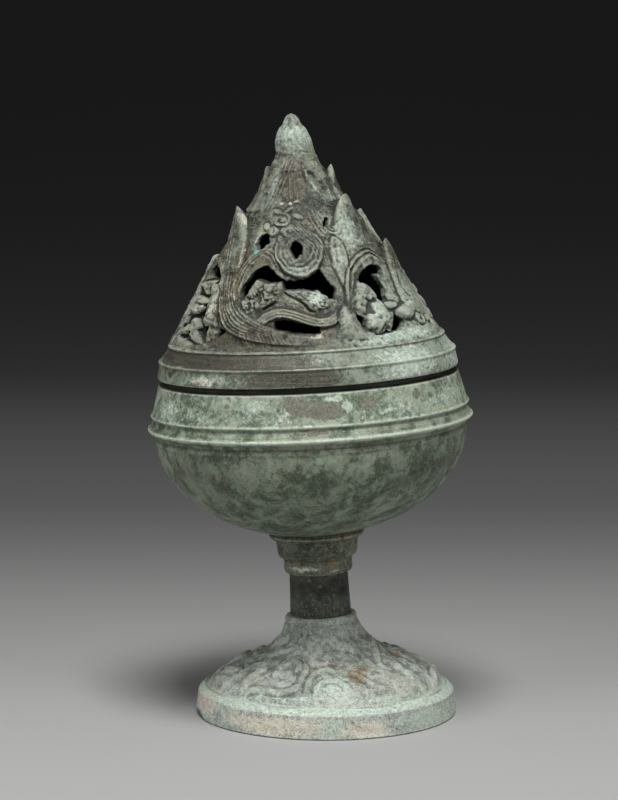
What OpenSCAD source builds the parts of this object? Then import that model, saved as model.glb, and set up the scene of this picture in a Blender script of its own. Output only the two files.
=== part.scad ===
// Hill censer: a stem cup on a flared foot, with a loose lid cast as an openwork mountain.
// Millimetres, +Z up. The foot stands on Z = 0 and the bowl's flange is centred over the origin.
// Heights above the foot are measured along the leaning axis, from the middle of the foot's underside.

/* [Stance] */
// Lean to the left of everything above the foot, in degrees
lean = 3; // [0:0.5:5]

/* [Foot] */
// Diameter of the foot where it stands
foot_d = 90.6; // [86:0.2:96]
// Height of the upright rim
foot_rim_h = 8; // [6.5:0.1:9.5]
// Amount that the rim draws in towards its top
foot_rim_draft = 0.9; // [0.3:0.1:1.5]
// Width and height of the bevel above the rim
foot_bevel = 2.2; // [1.6:0.1:2.8]
// Depth of the groove inside the bevel
foot_groove = 0.8; // [0.4:0.1:1.2]
// Height of the lip that takes the stem
foot_h = 34.6; // [32.5:0.1:37]
// Diameter of that lip
lip_d = 24; // [22.8:0.1:26]
// Thickness of the foot's wall
foot_wall = 3; // [2.4:0.1:3.6]
// Thickness of the web under the socket, which the rivet is clenched against
web_t = 3.4; // [2.6:0.1:4.2]

/* [Stem] */
// Length of the stem between the foot and the collar
stem_len = 15; // [12:0.2:19]
// Diameter of the stem at the foot
stem_low_d = 21.2; // [20:0.1:22.4]
// Diameter of the stem at the collar
stem_high_d = 20.3; // [19:0.1:21.6]
// Diameter of the tenons at the stem's ends
tenon_d = 16.4; // [14.5:0.1:17.5]
// Length of each tenon
tenon_len = 6; // [4.5:0.1:7]
// Bore of the hollow stem
stem_bore = 10; // [8.6:0.1:12]
// Radial play of a tenon in its socket
tenon_fit = 0.15; // [0.05:0.05:0.3]

/* [Collar] */
// Diameter of the collar's lowest ring
ring_d = 23.8; // [22:0.1:25.6]
// Height of that ring
ring_h = 5.6; // [4.4:0.1:7]
// Diameter of the cup at its foot
cup_low_d = 27.6; // [26:0.1:29.2]
// Diameter of the cup under the cap
cup_high_d = 28.8; // [27.4:0.1:30.4]
// Height of the cup
cup_h = 6.2; // [5:0.1:8]
// Diameter of the cap that the bowl sits on
cap_d = 33.4; // [31.6:0.1:36]
// Height of the cap
cap_h = 2.8; // [2.2:0.1:3.6]

/* [Bowl] */
// Height of the bowl from the collar to its rim
bowl_h = 53.6; // [50:0.2:58]
// Diameter of the bowl's round body, under the flange
bowl_d = 107.6; // [104:0.2:109]
// Height of the flange above the collar
flange_rise = 38.2; // [36:0.1:40]
// Amount that the flange, the widest part, stands out from the round body
flange_out = 2.5; // [1.8:0.1:4]
// Amount that the small moulding above the flange stands out from the round body
bead_out = 1.3; // [0.9:0.1:1.7]
// Height of that moulding above the flange
bead_rise = 4.7; // [4.2:0.1:5.6]
// Diameter of the bowl's rim
rim_d = 103; // [101:0.2:105]
// Thickness of the bowl's wall
bowl_wall = 2.8; // [2.2:0.1:3.4]
// Height of the lip inside the rim, which centres the lid
lip_rise = 5.6; // [4.6:0.1:6.6]
// Thickness of that lip
lip_wall = 2.4; // [1.8:0.1:2.8]

/* [Rivet] */
// Diameter of the iron rivet's shank
rivet_d = 6.4; // [5:0.1:7.2]
// Diameter of its head, inside the bowl
rivet_head_d = 15; // [12:0.1:18]
// Height of its head
rivet_head_h = 3; // [2:0.1:4]
// Diameter of its clenched tail, under the foot
rivet_tail_d = 10.4; // [9:0.1:11.6]
// Height of its clenched tail
rivet_tail_h = 2.4; // [1.6:0.1:3.2]
// Radial play of the rivet in its holes
rivet_fit = 0.2; // [0.1:0.05:0.4]
// Diameter of the washer under the web
washer_d = 15.6; // [13.6:0.1:16.6]
// Thickness of the washer
washer_t = 1.6; // [1:0.1:2.2]

/* [Lid] */
// Gap that shows between the bowl's rim and the lid
lid_gap = 2; // [1:0.1:3]
// Amount that the lid's lower edge stands out past the bowl's rim
lid_over = 0.3; // [-0.3:0.1:1]
// Height of the lid's lower band
low_band_h = 6.2; // [5.4:0.1:7.4]
// Height of the lid's upper band
high_band_h = 5.2; // [4.2:0.1:6.4]
// Amount that the bands draw in up to the top, where the mountain springs
band_draw = 5; // [4:0.1:6]
// Height that the mouldings at the top of each band stand out
moulding = 0.6; // [0.3:0.1:0.9]
// Height of the mountain above the bands
mountain_h = 76; // [70:0.5:84]
// Thickness of the mountain's wall, level
lid_wall = 3; // [2.4:0.1:3.6]
// Radial play of the lid round the lip
seat_play = 0.5; // [0.3:0.05:0.8]
// Clearance between the lid's shoulder and the top of the lip
seat_clear = 0.3; // [0.2:0.05:0.5]

/* [Mountain] */
// Height that the edging round each arch stands out
edging_h = 1.3; // [0.8:0.1:1.8]
// Width of that edging
edging_w = 2; // [1.4:0.1:2.6]
// Depth that the foot of each peak is sunk in the wall, as a share of its radius
peak_sink = 1.12; // [1:0.02:1.3]
// Width of a peak's blunt tip
tip_w = 1.2; // [0.8:0.1:1.8]
// Diameter of the cloud roundel on the front
roundel_d = 17; // [14:0.2:19]
// Diameter of the hole in that roundel
roundel_hole_d = 5; // [4:0.1:6]
// Thickness of the wavy ground band on the front
ground_t = 2.6; // [2:0.1:3.2]
// Size of the animals, nose to rump
beast_len = 14; // [11:0.2:16]
// Height of the standing figures
figure_h = 15; // [12:0.2:17]

/* [Hidden] */
$fn = 96;
bronze = "#6f7d6e";
dark_bronze = "#4a4a40";
iron = "#5b4638";
past = 1;

// Levels along the leaning axis
collar_z = foot_h + stem_len;
bowl_z = collar_z + ring_h + cup_h + cap_h;
flange_z = bowl_z + flange_rise;
bead_z = flange_z + bead_rise;
rim_z = bowl_z + bowl_h;
lid_z = rim_z + lid_gap;
spring_z = lid_z + low_band_h + high_band_h;
web_z = foot_h - tenon_len - web_t;
washer_z = web_z - washer_t;
floor_z = bowl_z + bowl_wall;

// Radii
foot_r = foot_d / 2;
lip_r = lip_d / 2;
rim_r = rim_d / 2;
lip_out_r = rim_r - lip_wall - 0.7;
lip_in_r = lip_out_r - lip_wall;
body_r = bowl_d / 2;
flange_r = body_r + flange_out;
bead_r = body_r + bead_out;
lid_r = rim_r + lid_over;
spring_r = lid_r - band_draw;
rivet_r = rivet_d / 2;

// The axis leaves the middle of the foot's underside and meets the flange over the origin
foot_x = flange_z * sin(lean);

// Wall of the mountain: share of its foot's radius, against share of its height
wall_shape = [[0, 1], [0.19, 0.822], [0.375, 0.63], [0.533, 0.42], [0.664, 0.256], [0.796, 0.14], [0.9, 0.07],
    [0.975, 0.02]];
wall_steps = [for (pair = wall_shape) pair[0]];
wall_least_r = 0.4;
cavity_top = 0.72;

// Arched openings: azimuth from the front, width, share of the height where each ends
arches = [[-66, 12.4, 0.34], [41, 13.4, 0.335], [93, 13, 0.33], [145, 15, 0.345], [196, 14, 0.33],
    [246, 13.4, 0.34]];
arch_foot = 0.05;

// Peaks: azimuth and height share of the foot, the same of the tip, stand-off of the tip, foot radius
peaks = [
    [-45, 0.08, -64, 0.588, 5.4, 11], [23, 0.1, 56, 0.615, 3.8, 11], [62, 0, 77, 0.423, 3.6, 9.6],
    [118, 0.06, 122, 0.575, 4.4, 11], [170, 0, 172, 0.44, 3.6, 9.6], [172, 0.26, 178, 0.61, 3.8, 9],
    [221, 0.08, 226, 0.59, 4.2, 11], [-92, 0, -94, 0.43, 3.4, 9.6],
    [66, 0.42, 80, 0.765, 3.2, 6.6], [-60, 0.45, -82, 0.8, 2.4, 6.2], [150, 0.42, 156, 0.77, 3, 6.4],
    [-128, 0.42, -134, 0.775, 2.8, 6.4], [16, 0.45, 20, 0.79, 1.6, 6], [-16, 0.34, -14, 0.63, 1.4, 8],
    [-18, 0.58, -14, 0.93, 1.4, 5], [100, 0.6, 104, 0.92, 1.6, 5], [215, 0.6, 218, 0.935, 1.6, 5],
    [-6, 0.72, -14, 1, 1, 5.4]];

// Small holes: azimuth, height share, diameter
small_holes = [[-31.5, 0.46, 5], [25, 0.53, 2.6], [102, 0.47, 4], [152, 0.46, 4.6], [204, 0.48, 4]];

// The cloud roundel: azimuth, height share, rise of its face, height share of its hole
roundel_at = [-4, 0.385];
roundel_tilt = 0.05;
roundel_hole_u = 0.42;

// The front scene: two lobes of the upper gap, the slot below the ground band
scene_az = -10;
gap_lobes = [[-8.6, 0.205, 14.6, 11.4], [10.8, 0.22, 12, 8.6]];
gap_bridge = [[2, 0.275], [12, 4]];
slot_mid = [4.4, 0.098];
slot_size = [14.2, 4.4];
ground_mid = 0.143;
ground_rise = 1.9;
ground_wave = 25;
ground_from = -9;
ground_len = 28;

function place(az, r, z) = [r * sin(az), -r * cos(az), z];
function mountain_z(u) = spring_z + u * mountain_h;
function wall_r(u) = spring_r * lookup(u, wall_shape);
function on_wall(az, u, out = 0) = place(az, wall_r(u) + out, mountain_z(u));
function curve(p, t) = pow(1 - t, 3) * p[0] + 3 * t * pow(1 - t, 2) * p[1] + 3 * t * t * (1 - t) * p[2]
    + pow(t, 3) * p[3];
function steps(n) = [for (i = [0:n]) i / n];

// Half outline of a peak: swells from its foot, then draws in to a blunt tip
function peak_side(r, len) = concat([[0, 0]],
    [for (t = steps(6)) curve([[r, 0], [r * 0.96, len * 0.4], [r * 0.42, len * 0.66], [tip_w / 2, len]], t)],
    [[0, len]]);

// Half outline of a pointed arch: upright sides that curve in to the crown
function arch_side(w, h) = [for (t = steps(6))
    curve([[w / 2, 0], [w * 0.62, h * 0.5], [w * 0.42, h * 0.92], [0, h]], t)];

// Line at a distance from the mountain's wall, between two shares of its height
function wall_line(out, from, to) = [for (u = wall_steps) if (u >= from && u <= to)
    [max(wall_r(u) + out, wall_least_r), mountain_z(u)]];

module leaning() {
    translate([foot_x, 0, 0]) rotate([0, -lean, 0]) children();
}

module along(a, b) {
    way = b - a;
    translate(a) rotate([0, acos(way[2] / norm(way)), atan2(way[1], way[0])]) children();
}

// A level prism from near the axis out through the wall, drawn as its outline seen from outside
module through_wall(az) {
    rotate([0, 0, az]) rotate([90, 0, 0])
        translate([0, 0, spring_r * 0.05]) linear_extrude(spring_r * 1.1) children();
}

module arch_outline(w, h) {
    side = arch_side(w, h);
    polygon(concat(side, [for (i = [len(side) - 2:-1:0]) [-side[i][0], side[i][1]]]));
}

module wall_band(inward, outward, from, to) {
    outer = wall_line(outward, from, to);
    inner = wall_line(-inward, from, to);
    rotate_extrude() polygon(concat(outer, [for (i = [len(inner) - 1:-1:0]) inner[i]]));
}

// Foot: hollow flared casting, upright, with a leaning socket for the stem
foot_in = foot_r - foot_wall - foot_rim_draft;
dome_r = foot_r - foot_rim_draft - foot_bevel - foot_groove * 2;
dome_z = foot_rim_h + foot_bevel;
neck_r = lip_r + 1.4;
neck_z = foot_h - 4;
dome_curve = [[dome_r, dome_z], [dome_r * 0.89, dome_z + (neck_z - dome_z) * 0.47],
    [dome_r * 0.4, dome_z + (neck_z - dome_z) * 0.4], [neck_r, neck_z]];
dome = [for (t = steps(12)) curve(dome_curve, t)];
dome_wall = foot_wall * 0.85;

module foot_hollow() {
    inside = [for (p = dome) [min(p[0] - dome_wall, foot_in), p[1] - dome_wall]];
    intersection() {
        translate([foot_x, 0, 0])
            rotate_extrude() polygon(concat([[0, -past], [foot_in, -past],
                [foot_in, dome_z - foot_wall - past]], inside, [[0, neck_z]]));
        leaning() translate([0, 0, -foot_r]) cylinder(h = foot_r + web_z, r = foot_d);
    }
}

module foot() {
    color(bronze) difference() {
        union() {
            translate([foot_x, 0, 0])
                rotate_extrude() polygon(concat([[0, 0], [foot_r, 0], [foot_r - foot_rim_draft, foot_rim_h],
                    [foot_r - foot_rim_draft - foot_bevel, foot_rim_h + foot_bevel],
                    [dome_r + foot_groove, dome_z - foot_groove]], dome, [[0, neck_z]]));
            leaning() rotate_extrude() polygon([[0, web_z], [neck_r + 2.4, web_z], [neck_r, neck_z - 1.2],
                [lip_r, foot_h - 1.2], [lip_r, foot_h], [0, foot_h]]);
        }
        foot_hollow();
        leaning() translate([0, 0, foot_h - tenon_len])
            cylinder(h = tenon_len + past, d = tenon_d + tenon_fit * 2);
        leaning() cylinder(h = foot_h, r = rivet_r + rivet_fit);
    }
}

// Stem: hollow column with a tenon at each end
module stem() {
    tenon_r = tenon_d / 2;
    color(dark_bronze) leaning() rotate_extrude() polygon([
        [stem_bore / 2, foot_h - tenon_len], [tenon_r, foot_h - tenon_len], [tenon_r, foot_h],
        [stem_low_d / 2, foot_h], [stem_high_d / 2, collar_z], [tenon_r, collar_z],
        [tenon_r, collar_z + tenon_len],
        [stem_bore / 2, collar_z + tenon_len]]);
}

// Collar: ring, cup and cap turned as one piece, between the stem and the bowl
module collar() {
    cup_z = collar_z + ring_h;
    cap_z = cup_z + cup_h;
    color(dark_bronze) leaning() difference() {
        rotate_extrude() polygon([[0, collar_z], [ring_d / 2 - 0.5, collar_z], [ring_d / 2, collar_z + 1.2],
            [ring_d / 2, cup_z - 0.8], [cup_low_d / 2 - 0.6, cup_z], [cup_low_d / 2, cup_z + 1],
            [cup_high_d / 2, cap_z], [cap_d / 2 - 0.7, cap_z + 0.5], [cap_d / 2, cap_z + cap_h * 0.5],
            [cap_d / 2 - 0.7, bowl_z], [0, bowl_z]]);
        translate([0, 0, collar_z - past])
            cylinder(h = tenon_len + tenon_fit + past, d = tenon_d + tenon_fit * 2);
        translate([0, 0, collar_z]) cylinder(h = bowl_z - collar_z + past, r = rivet_r + rivet_fit);
    }
}

// Bowl: deep round body, flange and moulding, and a lip inside the rim that centres the lid
seat_r = cap_d / 2 - 0.9;
body_mid = flange_z - 2.6;
body_deep = body_mid - bowl_z;
bulge = acos(seat_r / body_r);
body_fall = body_deep / sin(bulge);

function body_line(in) = [for (t = steps(12)) let (a = bulge * (1 - t))
    [body_r * cos(a) - in * cos(a), body_mid - body_fall * sin(a) + in * sin(a)]];

module bowl() {
    outside = concat(body_line(0), [[body_r + 0.5, flange_z - 1.9], [flange_r - 0.3, flange_z - 1],
        [flange_r, flange_z + 0.2], [flange_r - 0.6, flange_z + 1.2],
        [bead_r - 0.8, bead_z - 1.8], [bead_r, bead_z - 0.6], [bead_r - 0.2, bead_z + 0.4],
        [bead_r - 1.1, bead_z + 1.2],
        [rim_r + 0.3, rim_z - 0.8], [rim_r, rim_z]]);
    inside = concat([[lip_out_r, rim_z], [lip_out_r, rim_z + lip_rise], [lip_in_r, rim_z + lip_rise],
        [lip_in_r, rim_z - 3]], [for (i = [12:-1:0]) body_line(bowl_wall)[i]]);
    color(bronze) leaning() difference() {
        rotate_extrude() polygon(concat([[0, bowl_z]], outside, inside, [[0, floor_z]]));
        translate([0, 0, bowl_z - past]) cylinder(h = bowl_wall + past * 2, r = rivet_r + rivet_fit);
    }
}

// Rivet: domed head inside the bowl, shank down the stem, tail clenched under the foot's web
module tie_rivet() {
    head_r = rivet_head_d / 2;
    tail_r = rivet_tail_d / 2;
    color(iron) leaning() rotate_extrude() polygon([
        [0, washer_z - rivet_tail_h], [tail_r * 0.55, washer_z - rivet_tail_h],
        [tail_r, washer_z - rivet_tail_h * 0.4], [tail_r, washer_z], [rivet_r, washer_z], [rivet_r, floor_z],
        [head_r, floor_z], [head_r * 0.94, floor_z + rivet_head_h * 0.4],
        [head_r * 0.6, floor_z + rivet_head_h * 0.86], [0, floor_z + rivet_head_h]]);
}

module rivet_washer() {
    color(iron) leaning() translate([0, 0, washer_z]) difference() {
        cylinder(h = washer_t, d = washer_d);
        translate([0, 0, -past]) cylinder(h = washer_t + past * 2, r = rivet_r + rivet_fit);
    }
}

// Lid: bands, mountain wall, peaks, edged arches, front scene, all one casting
module peak(p) {
    base = on_wall(p[0], p[1], -peak_sink * p[5]);
    tip = on_wall(p[2], p[3], p[4]);
    along(base, tip) rotate_extrude() polygon(peak_side(p[5], norm(tip - base)));
}

module lid_bands() {
    low_top = lid_z + low_band_h;
    low_r = lid_r - 1.2;
    rotate_extrude() polygon(concat([[0, lid_z], [lid_r, lid_z], [low_r, low_top - 1.2],
        [low_r + moulding, low_top - 0.6], [low_r + moulding, low_top], [low_r - 0.4, low_top + 0.5],
        [spring_r + 0.5, spring_z - 1.2],
        [spring_r + 0.5 + moulding, spring_z - 0.6], [spring_r + 0.4 + moulding, spring_z]],
        wall_line(0, 0, 1), [[0, mountain_z(0.975)]]));
}

module lid_hollow() {
    shoulder_z = rim_z + lip_rise + seat_clear;
    rotate_extrude() polygon(concat([[0, lid_z - past], [lip_out_r + seat_play, lid_z - past],
        [lip_out_r + seat_play, shoulder_z], [lip_in_r - 0.4, shoulder_z]], wall_line(-lid_wall, 0, 0.7),
        [[0, mountain_z(cavity_top)]]));
}

module arch_edging(a) {
    u_span = (a[2] - arch_foot) * mountain_h;
    intersection() {
        wall_band(past, edging_h, 0, 0.533);
        through_wall(a[0]) translate([0, mountain_z(arch_foot)])
            arch_outline(a[1] + edging_w * 2, u_span + edging_w * 1.4);
    }
}

module arch_opening(a) {
    through_wall(a[0]) translate([0, mountain_z(arch_foot)])
        arch_outline(a[1], (a[2] - arch_foot) * mountain_h);
}

module roundel() {
    mid = on_wall(roundel_at[0], roundel_at[1], -lid_wall / 2);
    along(mid, on_wall(roundel_at[0], roundel_at[1] + roundel_tilt, roundel_d / 3)) {
        cylinder(h = lid_wall * 1.2, d = roundel_d);
        cylinder(h = lid_wall * 1.45, d = roundel_d * 0.66);
    }
}

module roundel_hole() {
    drill = roundel_hole_d * 1.6;
    along(on_wall(roundel_at[0], roundel_hole_u, -drill), on_wall(roundel_at[0], roundel_hole_u, drill))
        cylinder(h = drill * 2, d = roundel_hole_d);
}

module front_gaps() {
    through_wall(scene_az) {
        for (lobe = gap_lobes) translate([lobe[0], mountain_z(lobe[1])]) arch_outline(lobe[2], lobe[3]);
        translate([gap_bridge[0][0], mountain_z(gap_bridge[0][1])]) square(gap_bridge[1], center = true);
        translate([slot_mid[0], mountain_z(slot_mid[1])]) square(slot_size, center = true);
    }
}

module ground_band() {
    run = [for (t = steps(14)) let (x = ground_from + ground_len * t)
        [x, mountain_z(ground_mid) + ground_rise * cos(360 * x / ground_wave)]];
    intersection() {
        wall_band(lid_wall, edging_h, 0, 0.375);
        through_wall(scene_az) polygon(concat(run, [for (i = [14:-1:0]) run[i] - [0, ground_t]]));
    }
}

// Half outline of an animal from rump to snout, for a length of one
beast_side = [[0, 0], [0.16, 0.04], [0.23, 0.2], [0.21, 0.38], [0.16, 0.52], [0.2, 0.64], [0.18, 0.8],
    [0.1, 0.93], [0.06, 1], [0, 1]];

// Crouching animal: haunch, chest and head on one line, with two legs that stand in the wall
module beast(az, u, side = 1) {
    size = beast_len;
    turn = side * size * 180 / PI / wall_r(u);
    lift = size / mountain_h;
    deep = -lid_wall / 2;
    along(on_wall(az - 0.5 * turn, u - 0.02 * lift, deep), on_wall(az + 0.5 * turn, u + 0.16 * lift, deep))
        rotate_extrude() polygon(beast_side * size);
    for (x = [-0.3, 0.16]) {
        paw = on_wall(az + (x - 0.02) * turn, u - 0.42 * lift, deep);
        joint = on_wall(az + x * turn, u + 0.08 * lift, deep);
        along(paw, joint) cylinder(h = norm(joint - paw), r = lid_wall * 0.37);
    }
}

// Half outline of a figure in a long robe, skirt to head, for a height of one
figure_side = [[0, 0], [0.19, 0], [0.155, 0.3], [0.115, 0.5], [0.165, 0.7], [0.08, 0.8], [0.115, 0.9], [0.065, 1],
    [0, 1]];

// Standing figure, turned
module figure(az, u) {
    tall = figure_h;
    along(on_wall(az, u, -lid_wall / 2), on_wall(az, u + tall / mountain_h, -lid_wall / 2))
        rotate_extrude() polygon(figure_side * tall);
}

module lid() {
    $fn = 24;
    color(bronze) leaning() union() {
        difference() {
            union() {
                lid_bands($fn = 72);
                for (p = peaks) peak(p);
                for (a = arches) arch_edging(a);
                roundel();
            }
            lid_hollow($fn = 72);
            for (a = arches) arch_opening(a);
            front_gaps();
            for (h = small_holes)
                through_wall(h[0]) translate([0, mountain_z(h[1])]) circle(d = h[2]);
            roundel_hole();
        }
        ground_band();
        beast(-25, 0.235);
        beast(36, 0.112);
        figure(-60, 0.045);
        beast(148, 0.112, -1);
        beast(196, 0.112);
        figure(93, 0.045);
        figure(246, 0.045);
    }
}

foot();
stem();
collar();
bowl();
tie_rivet();
rivet_washer();
lid();
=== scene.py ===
"""Bronze hill censer: stem bowl on a flared foot, with a loose lid cast as an openwork mountain.

Pieces are worked out in millimetres along the leaning axis of the vessel, then placed in metres in the
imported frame.
"""
import logging
from dataclasses import dataclass, field
from enum import Enum
from math import radians

import bpy
import numpy as np
from mathutils import Euler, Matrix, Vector


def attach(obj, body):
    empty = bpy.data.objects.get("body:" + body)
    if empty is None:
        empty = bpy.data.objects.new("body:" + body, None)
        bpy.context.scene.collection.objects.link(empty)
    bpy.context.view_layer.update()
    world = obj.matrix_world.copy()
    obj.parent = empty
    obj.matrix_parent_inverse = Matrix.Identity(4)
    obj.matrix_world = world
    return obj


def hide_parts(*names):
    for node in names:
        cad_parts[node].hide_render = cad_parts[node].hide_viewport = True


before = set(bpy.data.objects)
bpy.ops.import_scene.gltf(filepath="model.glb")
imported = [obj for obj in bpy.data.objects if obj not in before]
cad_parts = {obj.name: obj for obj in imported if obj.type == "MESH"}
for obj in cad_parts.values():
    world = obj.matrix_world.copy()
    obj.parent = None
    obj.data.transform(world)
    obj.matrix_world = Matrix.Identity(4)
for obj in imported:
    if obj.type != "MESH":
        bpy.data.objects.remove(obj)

Array = np.ndarray
Points = tuple[tuple[float, float], ...]
Colour = tuple[int, int, int]
Triple = tuple[float, float, float]
Socket = bpy.types.NodeSocket
Material = bpy.types.Material
LOG = logging.getLogger("hill_censer")
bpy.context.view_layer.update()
MM = 0.001
TINY = 1e-9
LEAN = radians(3.0)
FLANGE_Z = 102.4
FOOT_X = FLANGE_Z * float(np.sin(LEAN))


class Body(Enum):
    """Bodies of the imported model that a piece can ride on."""

    STAND = "stand"
    LID = "lid"


class Stain(Enum):
    """Kinds of corrosion and worn metal that are painted on a surface, by place, with painted shade among
    them.
    """

    BROWN = 0
    MINT = 1
    CREAM = 2
    # dark stain: mostly painted shade in insides, gaps, recesses and under the bowl's body; elsewhere dark
    # patches
    SOOT_AND_SHADE = 3
    RUST = 4
    TURQUOISE = 5


@dataclass(frozen=True)
class Patch:
    """A soft oval of one stain; the dark kind is mostly painted shade.

    Args:
        kind: Stain that the oval holds.
        az: Azimuth of its middle, in degrees to the right of the front.
        z: Height of its middle along the axis, in mm.
        half_az: Half width in degrees.
        half_z: Half height in mm.
        strength: Weight at the middle.
    """

    kind: Stain
    az: float
    z: float
    half_az: float
    half_z: float
    strength: float


def ovals(kind: Stain, *rows: tuple[float, float, float, float, float]) -> tuple[Patch, ...]:
    """Patches of one stain, from rows of azimuth, height, half width, half height and strength."""
    return tuple(Patch(kind, *row) for row in rows)


def smooth(low: float, high: float, x: Array) -> Array:
    """Step from 0 at low to 1 at high, as the cubic 3t^2 - 2t^3."""
    t = np.clip((x - low) / (high - low), 0.0, 1.0)
    return t * t * (3.0 - 2.0 * t)


def turn_between(az: Array, middle: float) -> Array:
    """Degrees from a middle azimuth, wrapped to -180 to 180."""
    return (az - middle + 180.0) % 360.0 - 180.0


def hermite(x: Array, xs: Array, ys: Array) -> Array:
    """Cubic curve through points, with each point's slope taken from its neighbours.

    Args:
        x: Places to read.
        xs: Rising places of the points.
        ys: Values at the points.

    Returns:
        The curve's value at each x.
    """
    xs, ys = np.asarray(xs, float), np.asarray(ys, float)
    slope = np.gradient(ys, xs)
    i = np.clip(np.searchsorted(xs, x) - 1, 0, len(xs) - 2)
    h = xs[i + 1] - xs[i]
    t = np.clip((x - xs[i]) / h, 0.0, 1.0)
    a = (1 + 2 * t) * (1 - t) ** 2
    b = t * (1 - t) ** 2
    return a * ys[i] + b * h * slope[i] + (1 - a) * ys[i + 1] - (1 - t) * t * t * h * slope[i + 1]


def spline(points: Points, closed: bool = False, steps: int = 6) -> Array:
    """Catmull-Rom curve through points: each span's end slopes join the points on either side.

    Args:
        points: Points to pass through.
        closed: True where the last point runs on to the first.
        steps: Pieces that each span is cut into.

    Returns:
        Points along the curve, one row each; a closed curve repeats its first point.
    """
    p = np.asarray(points, float)
    p = np.vstack([p[-1], p, p[0], p[1]]) if closed else np.vstack([2 * p[0] - p[1], p, 2 * p[-1] - p[-2]])
    t = (np.arange(steps) / steps)[:, None, None]
    a, b, c, d = p[:-3], p[1:-2], p[2:-1], p[3:]
    run = 0.5 * (2 * b + (c - a) * t + (2 * a - 5 * b + 4 * c - d) * t**2 + (3 * b - 3 * c + d - a) * t**3)
    return np.vstack([run.transpose(1, 0, 2).reshape(-1, p.shape[1]), p[-2]])


class CastNoise:
    """Smooth random field: seeded values on a cubic lattice, blended with the cubic step."""

    TURN = (0.6, 0.9, 0.4)

    def __init__(self, seed: int, size: int = 24) -> None:
        """Draws the lattice's values, from -1 to 1, and turns the lattice off the axes."""
        self.size = size
        self.turn = np.array(Euler(self.TURN).to_matrix())
        self.values = np.random.default_rng(seed).uniform(-1.0, 1.0, (size, size, size))

    def at(self, place: Array, pitch: float) -> Array:
        """Reads the field.

        Args:
            place: Points in mm, with x, y and z along the last axis.
            pitch: Lattice spacing in mm.

        Returns:
            One value for each point, between -1 and 1.
        """
        q = place @ self.turn / pitch
        low = np.floor(q).astype(int)
        t = q - low
        t = t * t * (3.0 - 2.0 * t)
        total = np.zeros(place.shape[:-1])
        for corner in np.ndindex(2, 2, 2):
            i, j, k = (((low[..., axis] + corner[axis]) % self.size) for axis in range(3))
            weights = [t[..., axis] if corner[axis] else 1.0 - t[..., axis] for axis in range(3)]
            total += self.values[i, j, k] * weights[0] * weights[1] * weights[2]
        return total


NOISE = CastNoise(seed=7)


def leaning(x: Array, y: Array, z: Array) -> Array:
    """Points of the leaning vessel, in mm: turned about Y by the lean, then moved to the foot's middle."""
    along_x = np.cos(LEAN) * x - np.sin(LEAN) * z + FOOT_X
    along_z = np.sin(LEAN) * x + np.cos(LEAN) * z
    return np.stack([along_x, y + 0.0 * x, along_z], axis=-1)


def polar(r: Array, az: Array, z: Array) -> Array:
    """Leaning points at a radius, an azimuth in degrees from the front, and a height along the axis."""
    a = np.radians(az)
    return leaning(r * np.sin(a), -r * np.cos(a), z)


def upright(r: Array, az: Array, z: Array) -> Array:
    """Points about the foot's own upright axis, at a radius, an azimuth from the front and a height."""
    a = np.radians(az)
    return np.stack([r * np.sin(a) + FOOT_X, -r * np.cos(a), z + 0.0 * r], axis=-1)


def azimuths(columns: int) -> Array:
    """Even azimuths round the axis in degrees, from the back."""
    return np.arange(columns) * 360.0 / columns - 180.0


def chain(runs: tuple[Points, ...], pitches: tuple[float, ...]) -> tuple[Array, Array]:
    """Closed outline from runs of straight lines, cut into even steps, with its corners softened.

    Each point moves half way to the mean of its neighbours, which rounds the corners.

    Args:
        runs: Runs of points, radius and height, each starting where the one before it ends.
        pitches: Length of a step in mm, for each run.

    Returns:
        The outline's points, and for each the number of its run.
    """
    points, runs_of = [], []
    for number, (run, pitch) in enumerate(zip(runs, pitches)):
        p = np.asarray(run, float)
        far = np.concatenate([[0.0], np.cumsum(np.hypot(*np.diff(p, axis=0).T))])
        steps = np.linspace(0.0, far[-1], max(2, int(round(far[-1] / pitch)) + 1))[:-1]
        points.append(np.stack([np.interp(steps, far, p[:, 0]), np.interp(steps, far, p[:, 1])], axis=1))
        runs_of.append(np.full(len(steps), number))
    outline = np.vstack(points)
    outline = 0.5 * outline + 0.25 * (np.roll(outline, 1, axis=0) + np.roll(outline, -1, axis=0))
    return outline, np.concatenate(runs_of)


def ring_faces(rows: int, columns: int) -> Array:
    """Four-sided faces of a grid that closes on itself both ways, such as an outline turned about an axis."""
    i, j = np.meshgrid(np.arange(rows), np.arange(columns), indexing="ij")
    k, m = (i + 1) % rows, (j + 1) % columns
    corners = [i * columns + j, k * columns + j, k * columns + m, i * columns + m]
    return np.stack(corners, axis=-1).reshape(-1, 4)


def capped_faces(rows: int, columns: int) -> tuple[Array, Array]:
    """Faces of a grid that closes round its columns, with a pole point under its first row and over its last.

    Args:
        rows: Rows of the grid.
        columns: Columns of the grid.

    Returns:
        Four-sided faces and three-sided faces. The poles come after the grid's points, the lower one first.
    """
    quads = ring_faces(rows, columns).reshape(rows, columns, 4)[:-1].reshape(-1, 4)
    j = np.arange(columns)
    m = (j + 1) % columns
    low = np.stack([j, m, np.full(columns, rows * columns)], axis=1)
    last = (rows - 1) * columns
    high = np.stack([last + m, last + j, np.full(columns, rows * columns + 1)], axis=1)
    return quads, np.vstack([low, high])


def bumps(height: Array, reach: int) -> Array:
    """Height of each grid point over the mean of the square round it, for finding hollows and edges.

    Args:
        height: Heights on a grid whose columns close on themselves.
        reach: Half width of the square, in grid steps.

    Returns:
        The difference, in the same unit as the heights.
    """
    mean = height.copy()
    for axis, mode in enumerate(("edge", "wrap")):
        pad = [(0, 0), (0, 0)]
        pad[axis] = (reach + 1, reach)
        total = np.cumsum(np.pad(mean, pad, mode=mode), axis=axis)
        count = 2 * reach + 1
        first = np.take(total, np.arange(0, total.shape[axis] - count), axis=axis)
        last = np.take(total, np.arange(count, total.shape[axis]), axis=axis)
        mean = (last - first) / count
    return height - mean


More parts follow.
